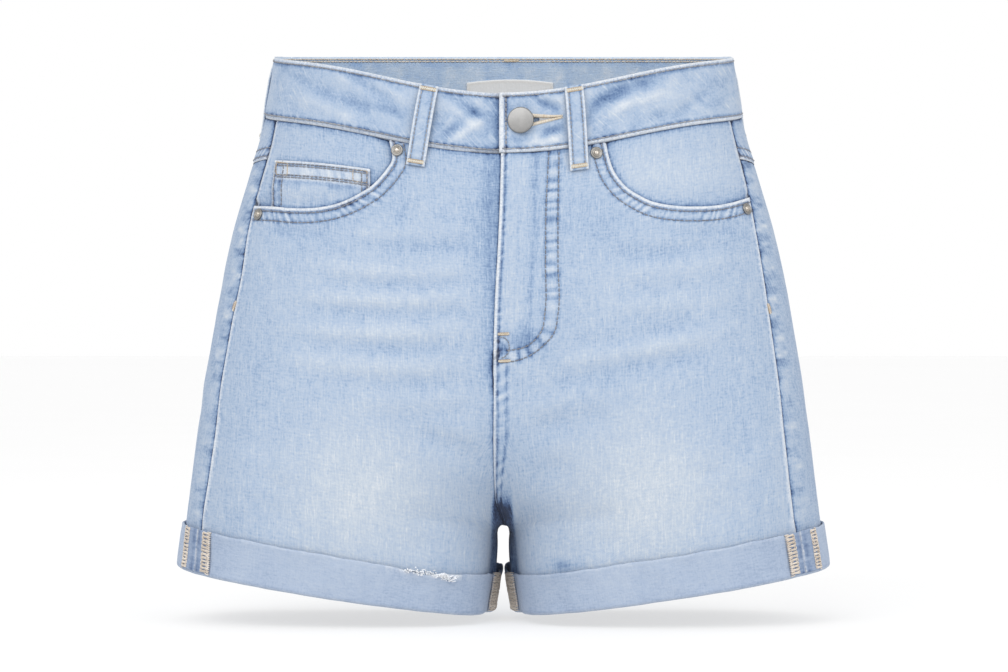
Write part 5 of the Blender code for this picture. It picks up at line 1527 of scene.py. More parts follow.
def allowance_shell(place, side):
    part, seam_q, way, wide_q = ALLOWANCES[place]
    span = float(FORM.span(side, part, HEM + 14 * MM))
    wide = wide_q * span / MM
    across = np.concatenate([[0.18, 0.4, 0.7, 1.1], np.linspace(1.7, wide - 1.6, 9), [wide - 1.0, wide - 0.55, wide - 0.25, wide]])
    down = np.concatenate([[0.0, 0.3, 0.7], np.linspace(1.3, 24.2, 24), [24.8, 25.2, 25.5]])
    A, D = np.meshgrid(across, down)
    v = CUFF_TOP + 0.5 * MM - D * ALLOWANCE_LONGER * MM
    q = seam_q + way * A * MM / FORM.span(side, part, v)
    levels = allowance_levels(place, side)
    s = np.full(q.shape, float(side))
    outer, inner, dye = levels(np.stack([A.ravel(), D.ravel()], 1), s.ravel(), q.ravel(), v.ravel())
    outer, inner, dye = outer.reshape(q.shape), inner.reshape(q.shape), dye.reshape(*q.shape, 3)
    P, N = FORM.read(s, q, v)
    name = f"allowance_{place}_{'left' if side > 0 else 'right'}_cloth"
    node = f"cuff_allowance_{place}_{'left' if side > 0 else 'right'}"
    return strip_shell(
        name, P + N * outer[..., None], P + N * inner[..., None], N, np.stack([A, D], -1), dye, dye, [node], "denim_reverse",
        (wide * MM, 25.5 * MM),
    )


def allowance_levels(place, side):
    wide = ALLOWANCES[place][3] * float(FORM.span(side, ALLOWANCES[place][0], HEM + 14 * MM)) / MM

    def levels(points, s, q, v):
        a, d = points[:, 0], points[:, 1]
        high, tone = broad(s, q, v)
        gape, _ = cuff_gape(side, q, v)
        base = cuff_face(v) + high + 0.12 * MM - 0.30 * MM * bell(a, 7.0)
        outer = base + 0.95 * MM - 0.75 * MM * bell(a, 1.1) + 0.10 * MM * wobble(d, 400 + side, 6.0)
        inner = base + 0.05 * MM - 0.1 * MM * bell(a, 1.1)
        edge = np.minimum(np.minimum(wide - a, d), 25.5 - d)
        outer, inner = rounded_edge(np.maximum(edge, 0), outer, inner, 0.6)
        dye = np.zeros((len(points), 3))
        dye[:, 1] = 0.4 * tone - 0.30 - 0.30 * bell(a - 3.0, 1.8) + 0.22 * wobble(d, 405 + side, 5.0) * bell(a - 3.0, 2.4) - 0.25 * bell(wide - a - 3.0, 3.0)
        dye[:, 0] = 0.85 * bell(a - 0.4, 0.5) * np.clip(0.7 + 0.5 * wobble(d, 406 + side, 4.0), 0, 1)
        return outer, inner, dye

    return levels


def loop_station(spec, downs):
    name, side, top, bottom, length, by = spec
    rise = np.array(LOOP_RISE)
    off = through(rise[:, 0], rise[:, 1], downs)
    share = downs / rise[-1, 0]
    v = -share * length
    at = top + (bottom - top) * share
    q = FORM.across(side, at, v) if by == "x" else np.full(len(downs), at if np.isscalar(at) else at)
    return q, v, off


def loop_surface(spec, across, downs):
    """Points, normals, the loop's rise (mm) and a share of the creases' height (metres) for places across (mm from the
    middle) and down a belt loop.
    """
    side = spec[1]
    q, v, off = loop_station(spec, downs)
    part = "front" if q[0] < 1 else "back"
    span = FORM.span(side, part, v)
    Q = q[:, None] + across[None, :] * MM / span[:, None]
    V = np.repeat(v[:, None], len(across), 1)
    P, N = FORM.read(side, Q, V)
    high, _ = broad(np.full(Q.shape, side), Q, V)
    return P, N, off, high * 0.6


def loop_levels(across, downs, off, seed):
    half = LOOP_WIDTH / 2 / MM
    A, D = np.meshgrid(across, downs)
    ds, de = half - abs(A), np.minimum(D, 56.0 - D)
    outer = off[:, None] * MM + LOOP_THICK + 0 * A
    inner = off[:, None] * MM + 0 * A
    wave = wobble(D, seed, 7.0)
    outer = outer + MM * (0.22 * bell(ds - 1.0, 0.9) - 0.22 * bell(ds - 2.3, 0.7) + 0.12 * bell(A, 3.0) + 0.10 * wave * bell(ds - 2.3, 1.5))
    outer, inner = rounded_edge(np.maximum(np.minimum(ds, de), 0), outer, inner, 0.85)
    dye = np.zeros((*A.shape, 3))
    dye[..., 0] = 0.95 * bell(np.maximum(ds - 0.7, 0), 0.8) * np.clip(0.9 + 0.15 * wave, 0, 1)
    dye[..., 1] = 0.20 - 0.42 * bell(ds - 2.5, 0.8) + 0.12 * wave * bell(A, 3.0) - 0.25 * bell(de - 3.6, 1.6)
    return outer, inner, dye


def loop_shell(spec, seed):
    half = LOOP_WIDTH / 2 / MM
    across = np.array([-6.2, -6.0, -5.65, -5.2, -4.6, -3.9, -3.3, -2.4, -1.2, 0, 1.2, 2.4, 3.3, 3.9, 4.6, 5.2, 5.65, 6.0, 6.2])
    downs = np.concatenate([[0.2, 0.45, 0.9, 1.5, 2.3], np.linspace(3.2, 53.0, 48), [53.9, 54.7, 55.3, 55.75, 56.0]])
    P, N, off, high = loop_surface(spec, across, downs)
    outer, inner, dye = loop_levels(across, downs, off, seed)
    flat = np.stack(np.meshgrid(across, downs), -1)
    dye_in = dye.copy()
    dye_in[..., 1] -= 0.4
    dye_in[..., 0] *= 0.3
    obj = strip_shell(
        spec[0] + "_cloth", P + N * (outer + high)[..., None], P + N * (inner + high)[..., None], N, flat, dye, dye_in, [spec[0]],
        cut=(LOOP_WIDTH, spec[4]),
    )
    obj.data.materials[0] = MATERIALS["denim_band"]


def label_shell():
    half = LABEL_WIDTH / 2 / MM
    across = np.concatenate([[-half, -half + 0.3, -half + 0.8], np.linspace(-half + 1.5, half - 1.5, 40), [half - 0.8, half - 0.3, half]])
    tall = (LABEL_TOP - LABEL_BOTTOM) / MM
    downs = np.concatenate([[0, 0.3, 0.8], np.linspace(1.5, tall - 1.5, 26), [tall - 0.8, tall - 0.3, tall]])
    A, D = np.meshgrid(across, downs)
    v = LABEL_TOP - D * MM + 2.2 * MM * (1 - (A / half) ** 2) * (1 - D / tall)
    q = 2 - A * MM / FORM.span(1, "back", np.full(A.shape, LABEL_TOP))
    s = np.ones(A.shape)
    P, N = FORM.read(s, q, v)
    ds, de = half - abs(A), np.minimum(D, tall - D)
    lift = 0.25 * wobble(A, 501, 24.0) * smooth(D / 10) + 0.12 * wobble(D, 502, 12.0)
    top, low = -2.0 * MM - lift * MM * 0.5, -2.75 * MM - lift * MM * 0.5
    low = low - 0.12 * MM * bell(np.minimum(ds, de) - 1.2, 0.8)
    outer, inner = rounded_edge(np.maximum(np.minimum(ds, de), 0), top + 0 * A, low + 0 * A, 0.5)
    dye = np.zeros((*A.shape, 3))
    dye[..., 0] = bell(np.minimum(ds, de) - 1.3, 0.5)
    return strip_shell(
        "inner_label_cloth", P + N * outer[..., None], P + N * inner[..., None], N, np.stack([A, D], -1), dye, dye, ["inner_label"],
        "label", (LABEL_WIDTH, tall * MM),
    )


# ---------------------------------------------------------------------------------------------------------------- threads
class Threads:
    """Many short tubes of one topology, joined in one mesh; each has a cell of its own in a plain atlas."""

    RINGS, SIDES = 6, 6

    def __init__(self, name):
        self.name, self.parts = name, []

    def add(self, centres, normals, radii, tint):
        """centres and normals (n, rings, 3), radii (n, rings), tint (n,)."""
        self.parts.append((centres, normals, radii, np.broadcast_to(tint, len(centres))))

    def build(self, material, slot="denim"):
        centres, normals, radii, tint = (np.concatenate([p[k] for p in self.parts]) for k in range(4))
        n, rings, sides = len(centres), self.RINGS, self.SIDES
        tangents = np.gradient(centres, axis=1)
        tangents /= np.maximum(np.linalg.norm(tangents, axis=2, keepdims=True), 1e-12)
        normals = normals - (normals * tangents).sum(2, keepdims=True) * tangents
        normals /= np.maximum(np.linalg.norm(normals, axis=2, keepdims=True), 1e-12)
        across = np.cross(tangents, normals)
        turn = np.arange(sides) * 2 * math.pi / sides
        points = (
            centres[:, :, None] + (across[:, :, None] * np.cos(turn)[:, None] + normals[:, :, None] * np.sin(turn)[:, None])
            * radii[:, :, None, None]
        ).reshape(-1, 3)
        base = (np.arange(n) * rings * sides)[:, None]
        i, j = np.meshgrid(np.arange(rings - 1), np.arange(sides), indexing="ij")
        a = (i * sides + j).ravel()
        b = (i * sides + (j + 1) % sides).ravel()
        quads = np.stack([a, b, b + sides, a + sides], 1)
        quads = (base[:, :, None] + quads[None]).reshape(-1, 4)
        ends = np.stack([np.arange(sides)[::-1], (rings - 1) * sides + np.arange(sides)], 0)
        ends = (base[:, :, None] + ends[None]).reshape(-1, sides)
        p = points[quads[::37]]
        outward = np.cross(p[:, 1] - p[:, 0], p[:, 3] - p[:, 0])
        middle = centres.reshape(-1, 3)[quads[::37, 0] // sides]
        if ((outward * (p.mean(1) - middle)).sum(1) > 0).mean() < 0.5:
            quads, ends = quads[:, ::-1], ends[:, ::-1]
            flipped = True
        else:
            flipped = False
        # the atlas: a cell for each tube
        columns = int(math.ceil(math.sqrt(n * 1.0)))
        cell = 1.0 / columns
        corner = np.stack([(np.arange(n) % columns) * cell, (np.arange(n) // columns) * cell], 1)
        share = np.linspace(0.12, 0.96, rings)
        u0, u1 = 0.04 + 0.92 * j.ravel() / sides, 0.04 + 0.92 * (j.ravel() + 1) / sides
        w0, w1 = share[i.ravel()], share[i.ravel() + 1]
        local = np.stack([np.stack([u0, w0], 1), np.stack([u1, w0], 1), np.stack([u1, w1], 1), np.stack([u0, w1], 1)], 1)
        ring = np.stack([np.cos(turn), np.sin(turn)], 1) * 0.04
        caps = np.stack([ring[::-1] + (0.3, 0.05), ring + (0.7, 0.05)], 0)
        if flipped:
            local, caps = local[:, ::-1], caps[:, ::-1]
        quad_uv = (corner[:, None, None] + local[None] * cell).reshape(-1, 2)
        cap_uv = (corner[:, None, None] + caps[None] * cell).reshape(-1, 2)
        obj = make_object(self.name, points, [quads, ends])
        layer = obj.data.uv_layers.new(name="OFBake")
        layer.uv.foreach_set("vector", np.concatenate([quad_uv, cap_uv]).astype(np.float32).ravel())
        made = obj.data.attributes.new("tint", "FLOAT", "POINT")
        made.data.foreach_set("value", np.repeat(tint, rings * sides).astype(np.float32))
        obj.data.materials.append(material)
        finish_piece(obj, (), slot)
        return obj


SHARES = np.array([0.0, 0.09, 0.30, 0.70, 0.91, 1.0])
LIFTS = np.array([-0.62, 0.10, 0.42, 0.42, 0.10, -0.62])
THICKS = np.array([0.45, 0.86, 1.0, 1.0, 0.86, 0.45])


def read_line(along, values, at):
    return np.stack([np.interp(at, along, values[:, k]) for k in range(3)], -1)


def stitches(group, p, n, seed, pitch=3.1, radius=0.42, gap=0.17, lift=0.05, tint=0.5, start=0.5):
    """A row of thread along the points p (metres) with normals n."""
    along = distances(p)
    count = int((along[-1] / MM - start) / pitch)
    if count < 1:
        return
    random = np.random.default_rng(seed)
    begin = (start + np.arange(count) * pitch + random.uniform(-0.16, 0.16, count)) * MM
    length = pitch * (1 - gap) * random.uniform(0.94, 1.05, count) * MM
    at = begin[:, None] + SHARES[None] * length[:, None]
    centre, normal = read_line(along, p, at), read_line(along, n, at)
    side = np.cross(np.gradient(centre, axis=1), normal)
    side /= np.maximum(np.linalg.norm(side, axis=2, keepdims=True), 1e-12)
    skew = random.uniform(-0.14, 0.14, count)[:, None] * (SHARES[None] - 0.5) * 2
    centre = centre + normal * ((LIFTS * radius + lift) * MM)[None, :, None] + side * (skew * MM)[..., None]
    group.add(centre, normal, THICKS[None] * radius * MM * random.uniform(0.93, 1.07, (count, 1)), np.clip(tint + random.uniform(-0.2, 0.2, count), 0, 1))


def bars(group, p, n, axis, length, radius, lift, seed, tint=0.5):
    """Short straight tubes lying at the points p along `axis` (n, 3)."""
    random = np.random.default_rng(seed)
    count = len(p)
    axis = axis / np.maximum(np.linalg.norm(axis, axis=1, keepdims=True), 1e-12)
    long = np.broadcast_to(length, count) * random.uniform(0.92, 1.08, count) * MM
    centre = p[:, None] + axis[:, None] * ((SHARES - 0.5)[None] * long[:, None])[..., None]
    centre = centre + n[:, None] * ((LIFTS * radius + lift) * MM)[None, :, None]
    group.add(
        centre, np.repeat(n[:, None], 6, 1), THICKS[None] * radius * MM * random.uniform(0.93, 1.07, (count, 1)),
        np.clip(tint + random.uniform(-0.18, 0.18, count), 0, 1),
    )


def bartack(group, p, n, along, length, width, seed, tint=0.5, lift=0.15):
    """A dense bar of stitches, `length` mm along `along` and `width` mm across."""
    along = along - (along * n).sum() * n
    along /= np.linalg.norm(along)
    across = np.cross(n, along)
    count = int(length / 0.56)
    at = (np.linspace(-0.5, 0.5, count) * length * MM)[:, None]
    tilt = np.where(np.arange(count) % 2 == 0, 0.16, -0.16)[:, None]
    bars(group, p + at * along, np.repeat(n[None], count, 0), across + tilt * along, width * 0.9, 0.30, lift, seed, tint + 0.5)
    ends = np.stack([p + across * k * width * 0.46 * MM for k in (-1, 1)])
    bars(group, ends, np.repeat(n[None], 2, 0), np.repeat(along[None], 2, 0), length, 0.26, lift + 0.14, seed + 1, tint - 0.35)


def runs_inside(line, outline, margin=0.0):
    """The longest run of a line's points that lies inside an outline."""
    inside = in_polygon(line, outline)
    best, start = (0, 0), None
    for k, yes in enumerate([*inside, False]):
        if yes and start is None:
            start = k
        elif not yes and start is not None:
            if k - start > best[1] - best[0]:
                best = (start, k)
            start = None
    return line[best[0]:best[1]]


def sew(group, line, to_place, levels, seed, face="outer", **how):
    """A row of thread along a line of a piece's flat mm."""
    line = resample(line, 0.6)
    side, q, v = to_place(line)
    outer, inner, _ = levels(line, side, q, v)
    p, n = FORM.read(side, q, v)
    if face == "outer":
        p = p + n * outer[:, None]
    else:
        p, n = p + n * inner[:, None], -n
    stitches(group, p, n, seed, **how)


def spot(side, q, v, level):
    """A point, its normal, and unit vectors down and outwards (q rising) there."""
    side, q, v = np.array([float(side)]), np.array([float(q)]), np.array([float(v)])
    p, n = FORM.read(side, q, v)
    down = FORM.read(side, q, v - 1 * MM)[0] - FORM.read(side, q, v + 1 * MM)[0]
    out = FORM.read(side, q + 0.004, v)[0] - FORM.read(side, q - 0.004, v)[0]
    unit = lambda x: (x / np.linalg.norm(x, axis=-1, keepdims=True))[0]
    return (p + n * level)[0], n[0], unit(down), unit(out)


def loop_threads(group, tacks, spec, seed):
    downs = np.linspace(1.6, 54.4, 90)
    cols = np.array([-3.9, -1.0, 0.0, 1.0, 3.9])
    P, N, off, high = loop_surface(spec, cols, downs)
    outer, _, _ = loop_levels(cols, downs, off, seed)
    S = P + N * (outer + high)[..., None]
    for k, col in enumerate((0, 4)):
        stitches(group, S[:, col], N[:, col], seed + k, pitch=3.0, radius=0.38, lift=0.02, tint=0.45)
    for k, down in enumerate((2.7, 53.0)):
        i = int(np.argmin(abs(downs - down)))
        bartack(tacks, S[i, 2], N[i, 2], S[i, 3] - S[i, 1], 10.4, 2.3, seed + 5 + k, 0.55, 0.10)


def overlock(group, place, side, seed):
    """Looper threads over the edge of an allowance: a needle line, rungs, and a dense edge."""
    part, seam_q, way, wide_q = ALLOWANCES[place]
    wide = wide_q * float(FORM.span(side, part, HEM + 14 * MM)) / MM
    levels = allowance_levels(place, side)

    def at(a, d, lift):
        a, d = np.broadcast_arrays(np.asarray(a, float), np.asarray(d, float))
        v = CUFF_TOP + 0.5 * MM - d * ALLOWANCE_LONGER * MM
        q = seam_q + way * a * MM / FORM.span(side, part, v)
        s = np.full(a.shape, float(side))
        inside = np.minimum(a, wide - 0.5)
        outer = levels(np.stack([inside.ravel(), d.ravel()], 1), s.ravel(), q.ravel(), v.ravel())[0].reshape(a.shape)
        P, N = FORM.read(s, q, v)
        return P + N * (outer + np.asarray(lift) * MM)[..., None], N

    random = np.random.default_rng(seed)
    needle = wide - (6.8 if place.startswith("side") else wide - 1.6)
    broadside = place.startswith("side")
    pitch = 2.1
    count = int(25.2 / pitch)
    d0 = 0.5 + np.arange(count) * pitch + random.uniform(-0.15, 0.15, count)
    share = SHARES
    for shift, slope, radius, high, low, bright in ((0.0, 0.45, 0.48, 0.40, 0.45, 1.0), (0.80, -0.30, 0.44, 0.34, 0.40, 0.9)):
        a = needle + (wide + 0.05 - needle) * share[None] + 0 * d0[:, None]
        d = d0[:, None] + shift + (slope + random.uniform(-0.2, 0.2, (count, 1))) * share[None]
        P, N = at(a, np.clip(d, 0.1, 25.4), np.array([-0.1, 0.8, 1.0, 1.0, 0.8, -0.4]) * high)
        group.add(P, N, THICKS[None] * radius * MM + 0 * d, random.uniform(low, bright, count))
    line = np.linspace(0.2, 25.2, 40)
    P, N = at(np.full(40, needle), line, 0.0)
    stitches(group, P, N, seed + 1, pitch=2.65, radius=0.40, lift=0.05, tint=0.75)
    P, N = at(np.full(40, needle + 1.3), line, 0.0)
    stitches(group, P, N, seed + 2, pitch=2.65, radius=0.30, lift=0.25, tint=0.55)
    many = int(25.2 / 0.60)
    d0 = 0.25 + np.arange(many) * 0.60
    dense = 2.6 if broadside else wide - 2.2
    a = wide - dense + (dense + 0.35) * share[None] + 0 * d0[:, None]
    d = d0[:, None] + (0.9 if broadside else 2.0) * share[None] * np.where(np.arange(many) % 2, 1, -1)[:, None]
    P, N = at(a, np.clip(d, 0.05, 25.45), np.array([0.05, 0.36, 0.46, 0.42, 0.15, -0.65]))
    group.add(P, N, THICKS[None] * 0.34 * MM + 0 * d, random.uniform(0.35, 1.0, many))


def buttonhole_threads(group):
    """Thread laid round the slit, each stitch across its edge."""
    rim = resample(np.vstack([HOLE, HOLE[:1]]), 0.58)[:-1]
    d = np.roll(rim, -1, 0) - np.roll(rim, 1, 0)
    d /= np.maximum(np.linalg.norm(d, axis=1, keepdims=True), 1e-9)
    away = np.stack([d[:, 1], -d[:, 0]], 1)
    if in_polygon(rim[5:6] + away[5:6] * 0.5, HOLE)[0]:
        away = -away
    reach = np.array([-0.50, 0.10, 0.75, 1.45, 1.95, 2.2])
    taper = np.interp(rim[:, 0] - HOLE_X, (4.0, 14.0, 26.6), (1.0, 0.85, 0.48))
    pts = rim[:, None] + away[:, None] * (reach[None, :] * taper[:, None])[..., None]
    flat = pts.reshape(-1, 2)
    s, q, v = from_band(flat)
    outer, _, _ = band_levels(flat, s, q, v)
    p, n = FORM.read(s, q, v)
    lift = np.tile(np.array([-0.9, 0.25, 0.55, 0.50, 0.20, -0.25]), len(rim))
    p = (p + n * (outer + lift * MM)[:, None]).reshape(len(rim), 6, 3)
    random = np.random.default_rng(77)
    group.add(p, n.reshape(len(rim), 6, 3), THICKS[None] * 0.36 * MM * random.uniform(0.9, 1.1, (len(rim), 1)), random.uniform(0.45, 1.0, len(rim)))
    inner = resample(np.vstack([HOLE, HOLE[:1]]), 0.9)  # the gimp: a brown line round the slit's edge
    s, q, v = from_band(inner)
    outer, _, _ = band_levels(inner, s, q, v)
    p, n = FORM.read(s, q, v)
    stitches(group, p + n * (outer - 0.1 * MM)[:, None], n, 78, pitch=1.7, radius=0.26, gap=0.02, lift=0.0, tint=0.0, start=0.0)


def frayed(group):
    """Loose white threads where the right cuff's edge is nicked."""
    random = np.random.default_rng(91)
    count = 190
    px = np.where(random.random(count) < 0.62, random.normal(441.5, 5, count), random.uniform(402, 450, count))
    py = np.interp(px, (398, 420, 438, 446, 456), (569, 571, 575, 577, 577)) + random.normal(0, 1.5, count)
    q, v = FORM.seen(-1, px, py)
    s = np.full(count, -1.0)
    p, n = FORM.read(s, q, v)
    p = p + n * (cuff_face(v) + 0.5 * MM)[:, None]
    down = FORM.read(s, q, v - 1 * MM)[0] - p
    down /= np.linalg.norm(down, axis=1, keepdims=True)
    out = np.cross(n, down)
    angle = random.uniform(-1.3, 1.3, count) + np.where(random.random(count) < 0.6, math.pi, 0)
    heading = down * np.cos(angle)[:, None] + out * np.sin(angle)[:, None]
    long = random.uniform(1.8, 5.0, count) * MM
    bend = random.uniform(-0.5, 0.5, count)
    t = np.linspace(0, 1, 6)
    side = np.cross(heading, n)
    centre = (
        p[:, None] + heading[:, None] * (t[None] * long[:, None])[..., None]
        + side[:, None] * ((t * t)[None] * (bend * long)[:, None])[..., None]
        + n[:, None] * (np.sin(t * math.pi)[None] * random.uniform(0.2, 1.1, (count, 1)) * MM)[..., None]
    )
    group.add(centre, np.repeat(n[:, None], 6, 1), np.linspace(0.36, 0.20, 6)[None] * MM + 0 * long[:, None], random.uniform(0.4, 1, count))


# ----------------------------------------------------------------------------------------------------------------- metal
def turned(name, profile, origin, axis, segments, node, pick=None, materials=(), smooth_angle=45):
    """A closed solid of revolution of a half section (radius, height) in mm."""
    axis = axis / np.linalg.norm(axis)
    across = np.cross(axis, (0.0, 0.0, 1.0))
    across /= np.linalg.norm(across)
    other = np.cross(axis, across)
    turn = np.arange(segments) * 2 * math.pi / segments
    ring = across * np.cos(turn)[:, None] + other * np.sin(turn)[:, None]
    inner = profile[1:-1]
    points = [origin + axis * profile[0][1] * MM]
    for radius, height in inner:
        points.extend(origin + axis * height * MM + ring * radius * MM)
    points.append(origin + axis * profile[-1][1] * MM)
    points = np.array([np.asarray(x) for x in points])
    rows = len(inner)
    k = np.arange(segments)
    nxt = (k + 1) % segments
    quads = np.concatenate([
        np.stack([1 + r * segments + k, 1 + r * segments + nxt, 1 + (r + 1) * segments + nxt, 1 + (r + 1) * segments + k], 1)
        for r in range(rows - 1)
    ])
    first = np.stack([np.zeros(segments, int), 1 + nxt, 1 + k], 1)
    last_row = 1 + (rows - 1) * segments
    last = np.stack([np.full(segments, len(points) - 1), last_row + k, last_row + nxt], 1)
    probe = points[last]
    if ((np.cross(probe[:, 1] - probe[:, 0], probe[:, 2] - probe[:, 0]) @ axis) > 0).mean() < 0.5:
        quads, first, last = quads[:, ::-1], first[:, ::-1], last[:, ::-1]
    obj = make_object(name, points, [quads, first, last], sharp=smooth_angle)
    for material in materials:
        obj.data.materials.append(material)
    if pick:
        radius = np.linalg.norm(np.cross(np.array([p.center for p in obj.data.polygons]) - origin, axis), axis=1) / MM
        obj.data.polygons.foreach_set("material_index", (radius < pick).astype(np.int32))
    finish_piece(obj, [node], "metal")
    return obj


def button():
    v = -BAND_HEIGHT * BUTTON_SHARE
    q = FORM.across(1, BUTTON_X, v)
    p, n = FORM.read(1, q, v)
    profile = (
        (0, -1.75), (2.55, -1.75), (2.6, -1.7), (2.6, 1.00), (2.7, 1.06), (7.6, 1.06), (8.1, 1.16), (8.42, 1.45), (8.56, 1.9), (8.6, 2.5),
        (8.56, 2.95), (8.42, 3.25), (8.1, 3.44), (7.7, 3.52), (7.2, 3.57), (6.0, 3.68), (4.5, 3.79),
        (3.0, 3.87), (1.5, 3.93), (0, 3.95),
    )
    lean = math.radians(11)
    n = np.array([n[0] * math.cos(lean) + n[1] * math.sin(lean), n[1] * math.cos(lean) - n[0] * math.sin(lean), n[2]])
    turned("button_finish", profile, p, n, 72, "waist_button", materials=[MATERIALS["button"]])


def rivets():
    profile = (
        (0, 0.30), (3.6, 0.30), (3.85, 0.42), (4.0, 0.7), (3.98, 1.0), (3.8, 1.28), (3.5, 1.46), (3.15, 1.50), (2.8, 1.38), (2.5, 1.2),
        (2.3, 1.08), (2.05, 1.06), (1.85, 1.2), (1.7, 1.5), (1.45, 1.85), (1.1, 2.12), (0.6, 2.26), (0, 2.3),
    )
    for name, side, x, z in RIVETS:
        q, v = FORM.locate(side, [x], [z])
        p, n = FORM.read(float(side), q, v)
        high, _ = broad(np.array([float(side)]), q, v)
        turned(name + "_finish", profile, p[0] + n[0] * high[0], n[0], 40, name, pick=2.1, materials=[MATERIALS["pewter"], MATERIALS["bronze"]])


# ------------------------------------------------------------------------------------------------------------- materials
def linear(r, g, b, scale=1.0):
    def one(x):
        x /= 255
        return x / 12.92 if x <= 0.04045 else ((x + 0.055) / 1.055) ** 2.4
    return (one(r) * scale, one(g) * scale, one(b) * scale, 1.0)


class Graph:
    """A material with a Principled shader and short calls for its nodes."""

    def __init__(self, name, roughness, metallic=0.0, **constants):
        self.material = bpy.data.materials.new(name)
        self.material.use_nodes = True
        self.tree = self.material.node_tree
        self.shader = next(n for n in self.tree.nodes if n.type == "BSDF_PRINCIPLED")
        self.shader.inputs["Roughness"].default_value = roughness
        self.shader.inputs["Metallic"].default_value = metallic
        for key, value in constants.items():
            self.shader.inputs[key.replace("_", " ")].default_value = value

    def node(self, kind, **values):
        made = self.tree.nodes.new(kind)
        for key, value in values.items():
            setattr(made, key, value)
        return made

    def put(self, socket, value):
        if isinstance(value, bpy.types.NodeSocket):
            self.tree.links.new(value, socket)
        else:
            socket.default_value = value

    def math(self, operation, a, b=0.0, c=0.0):
        made = self.node("ShaderNodeMath", operation=operation)
        for socket, value in zip(made.inputs, (a, b, c)):
            self.put(socket, value)
        return made.outputs[0]

    def scaled(self, vector, by):
        made = self.node("ShaderNodeVectorMath", operation="MULTIPLY")
        self.put(made.inputs[0], vector)
        made.inputs[1].default_value = by
        return made.outputs[0]

    def turn(self, vector, angle):
        made = self.node("ShaderNodeVectorRotate", rotation_type="Z_AXIS")
        self.put(made.inputs["Vector"], vector)
        made.inputs["Angle"].default_value = angle
        return made.outputs[0]

    def noise(self, vector, by, detail=2.0, rough=0.5):
        made = self.node("ShaderNodeTexNoise")
        self.put(made.inputs["Vector"], self.scaled(vector, by))
        made.inputs["Scale"].default_value = 1.0
        made.inputs["Detail"].default_value = detail
        made.inputs["Roughness"].default_value = rough
        return made.outputs["Fac"]

    def ramp(self, factor, stops):
        made = self.node("ShaderNodeValToRGB")
        self.put(made.inputs[0], factor)
        ramp = made.color_ramp
        while len(ramp.elements) < len(stops):
            ramp.elements.new(0.5)
        for element, (at, colour) in zip(ramp.elements, stops):
            element.position, element.color = at, colour
        return made.outputs[0]

    def mix(self, factor, a, b):
        made = self.node("ShaderNodeMix", data_type="RGBA")
        self.put(made.inputs[0], factor)
        self.put(made.inputs[6], a)
        self.put(made.inputs[7], b)
        return made.outputs[2]

    def sum(self, *terms):
        """Adds (value, weight, centre) terms: weight * (value - centre)."""
        total = None
        for value, weight, centre in terms:
            one = self.math("MULTIPLY_ADD", value, weight, -weight * centre)
            total = one if total is None else self.math("ADD", total, one)
        return total

    def bump(self, height, distance, strength=1.0):
        made = self.node("ShaderNodeBump")
        made.inputs["Strength"].default_value = strength
        made.inputs["Distance"].default_value = distance
        self.put(made.inputs["Height"], height)
        self.put(self.shader.inputs["Normal"], made.outputs[0])


LIGHT = 0.70  # cloth colours as displayed, over what the studio's light adds


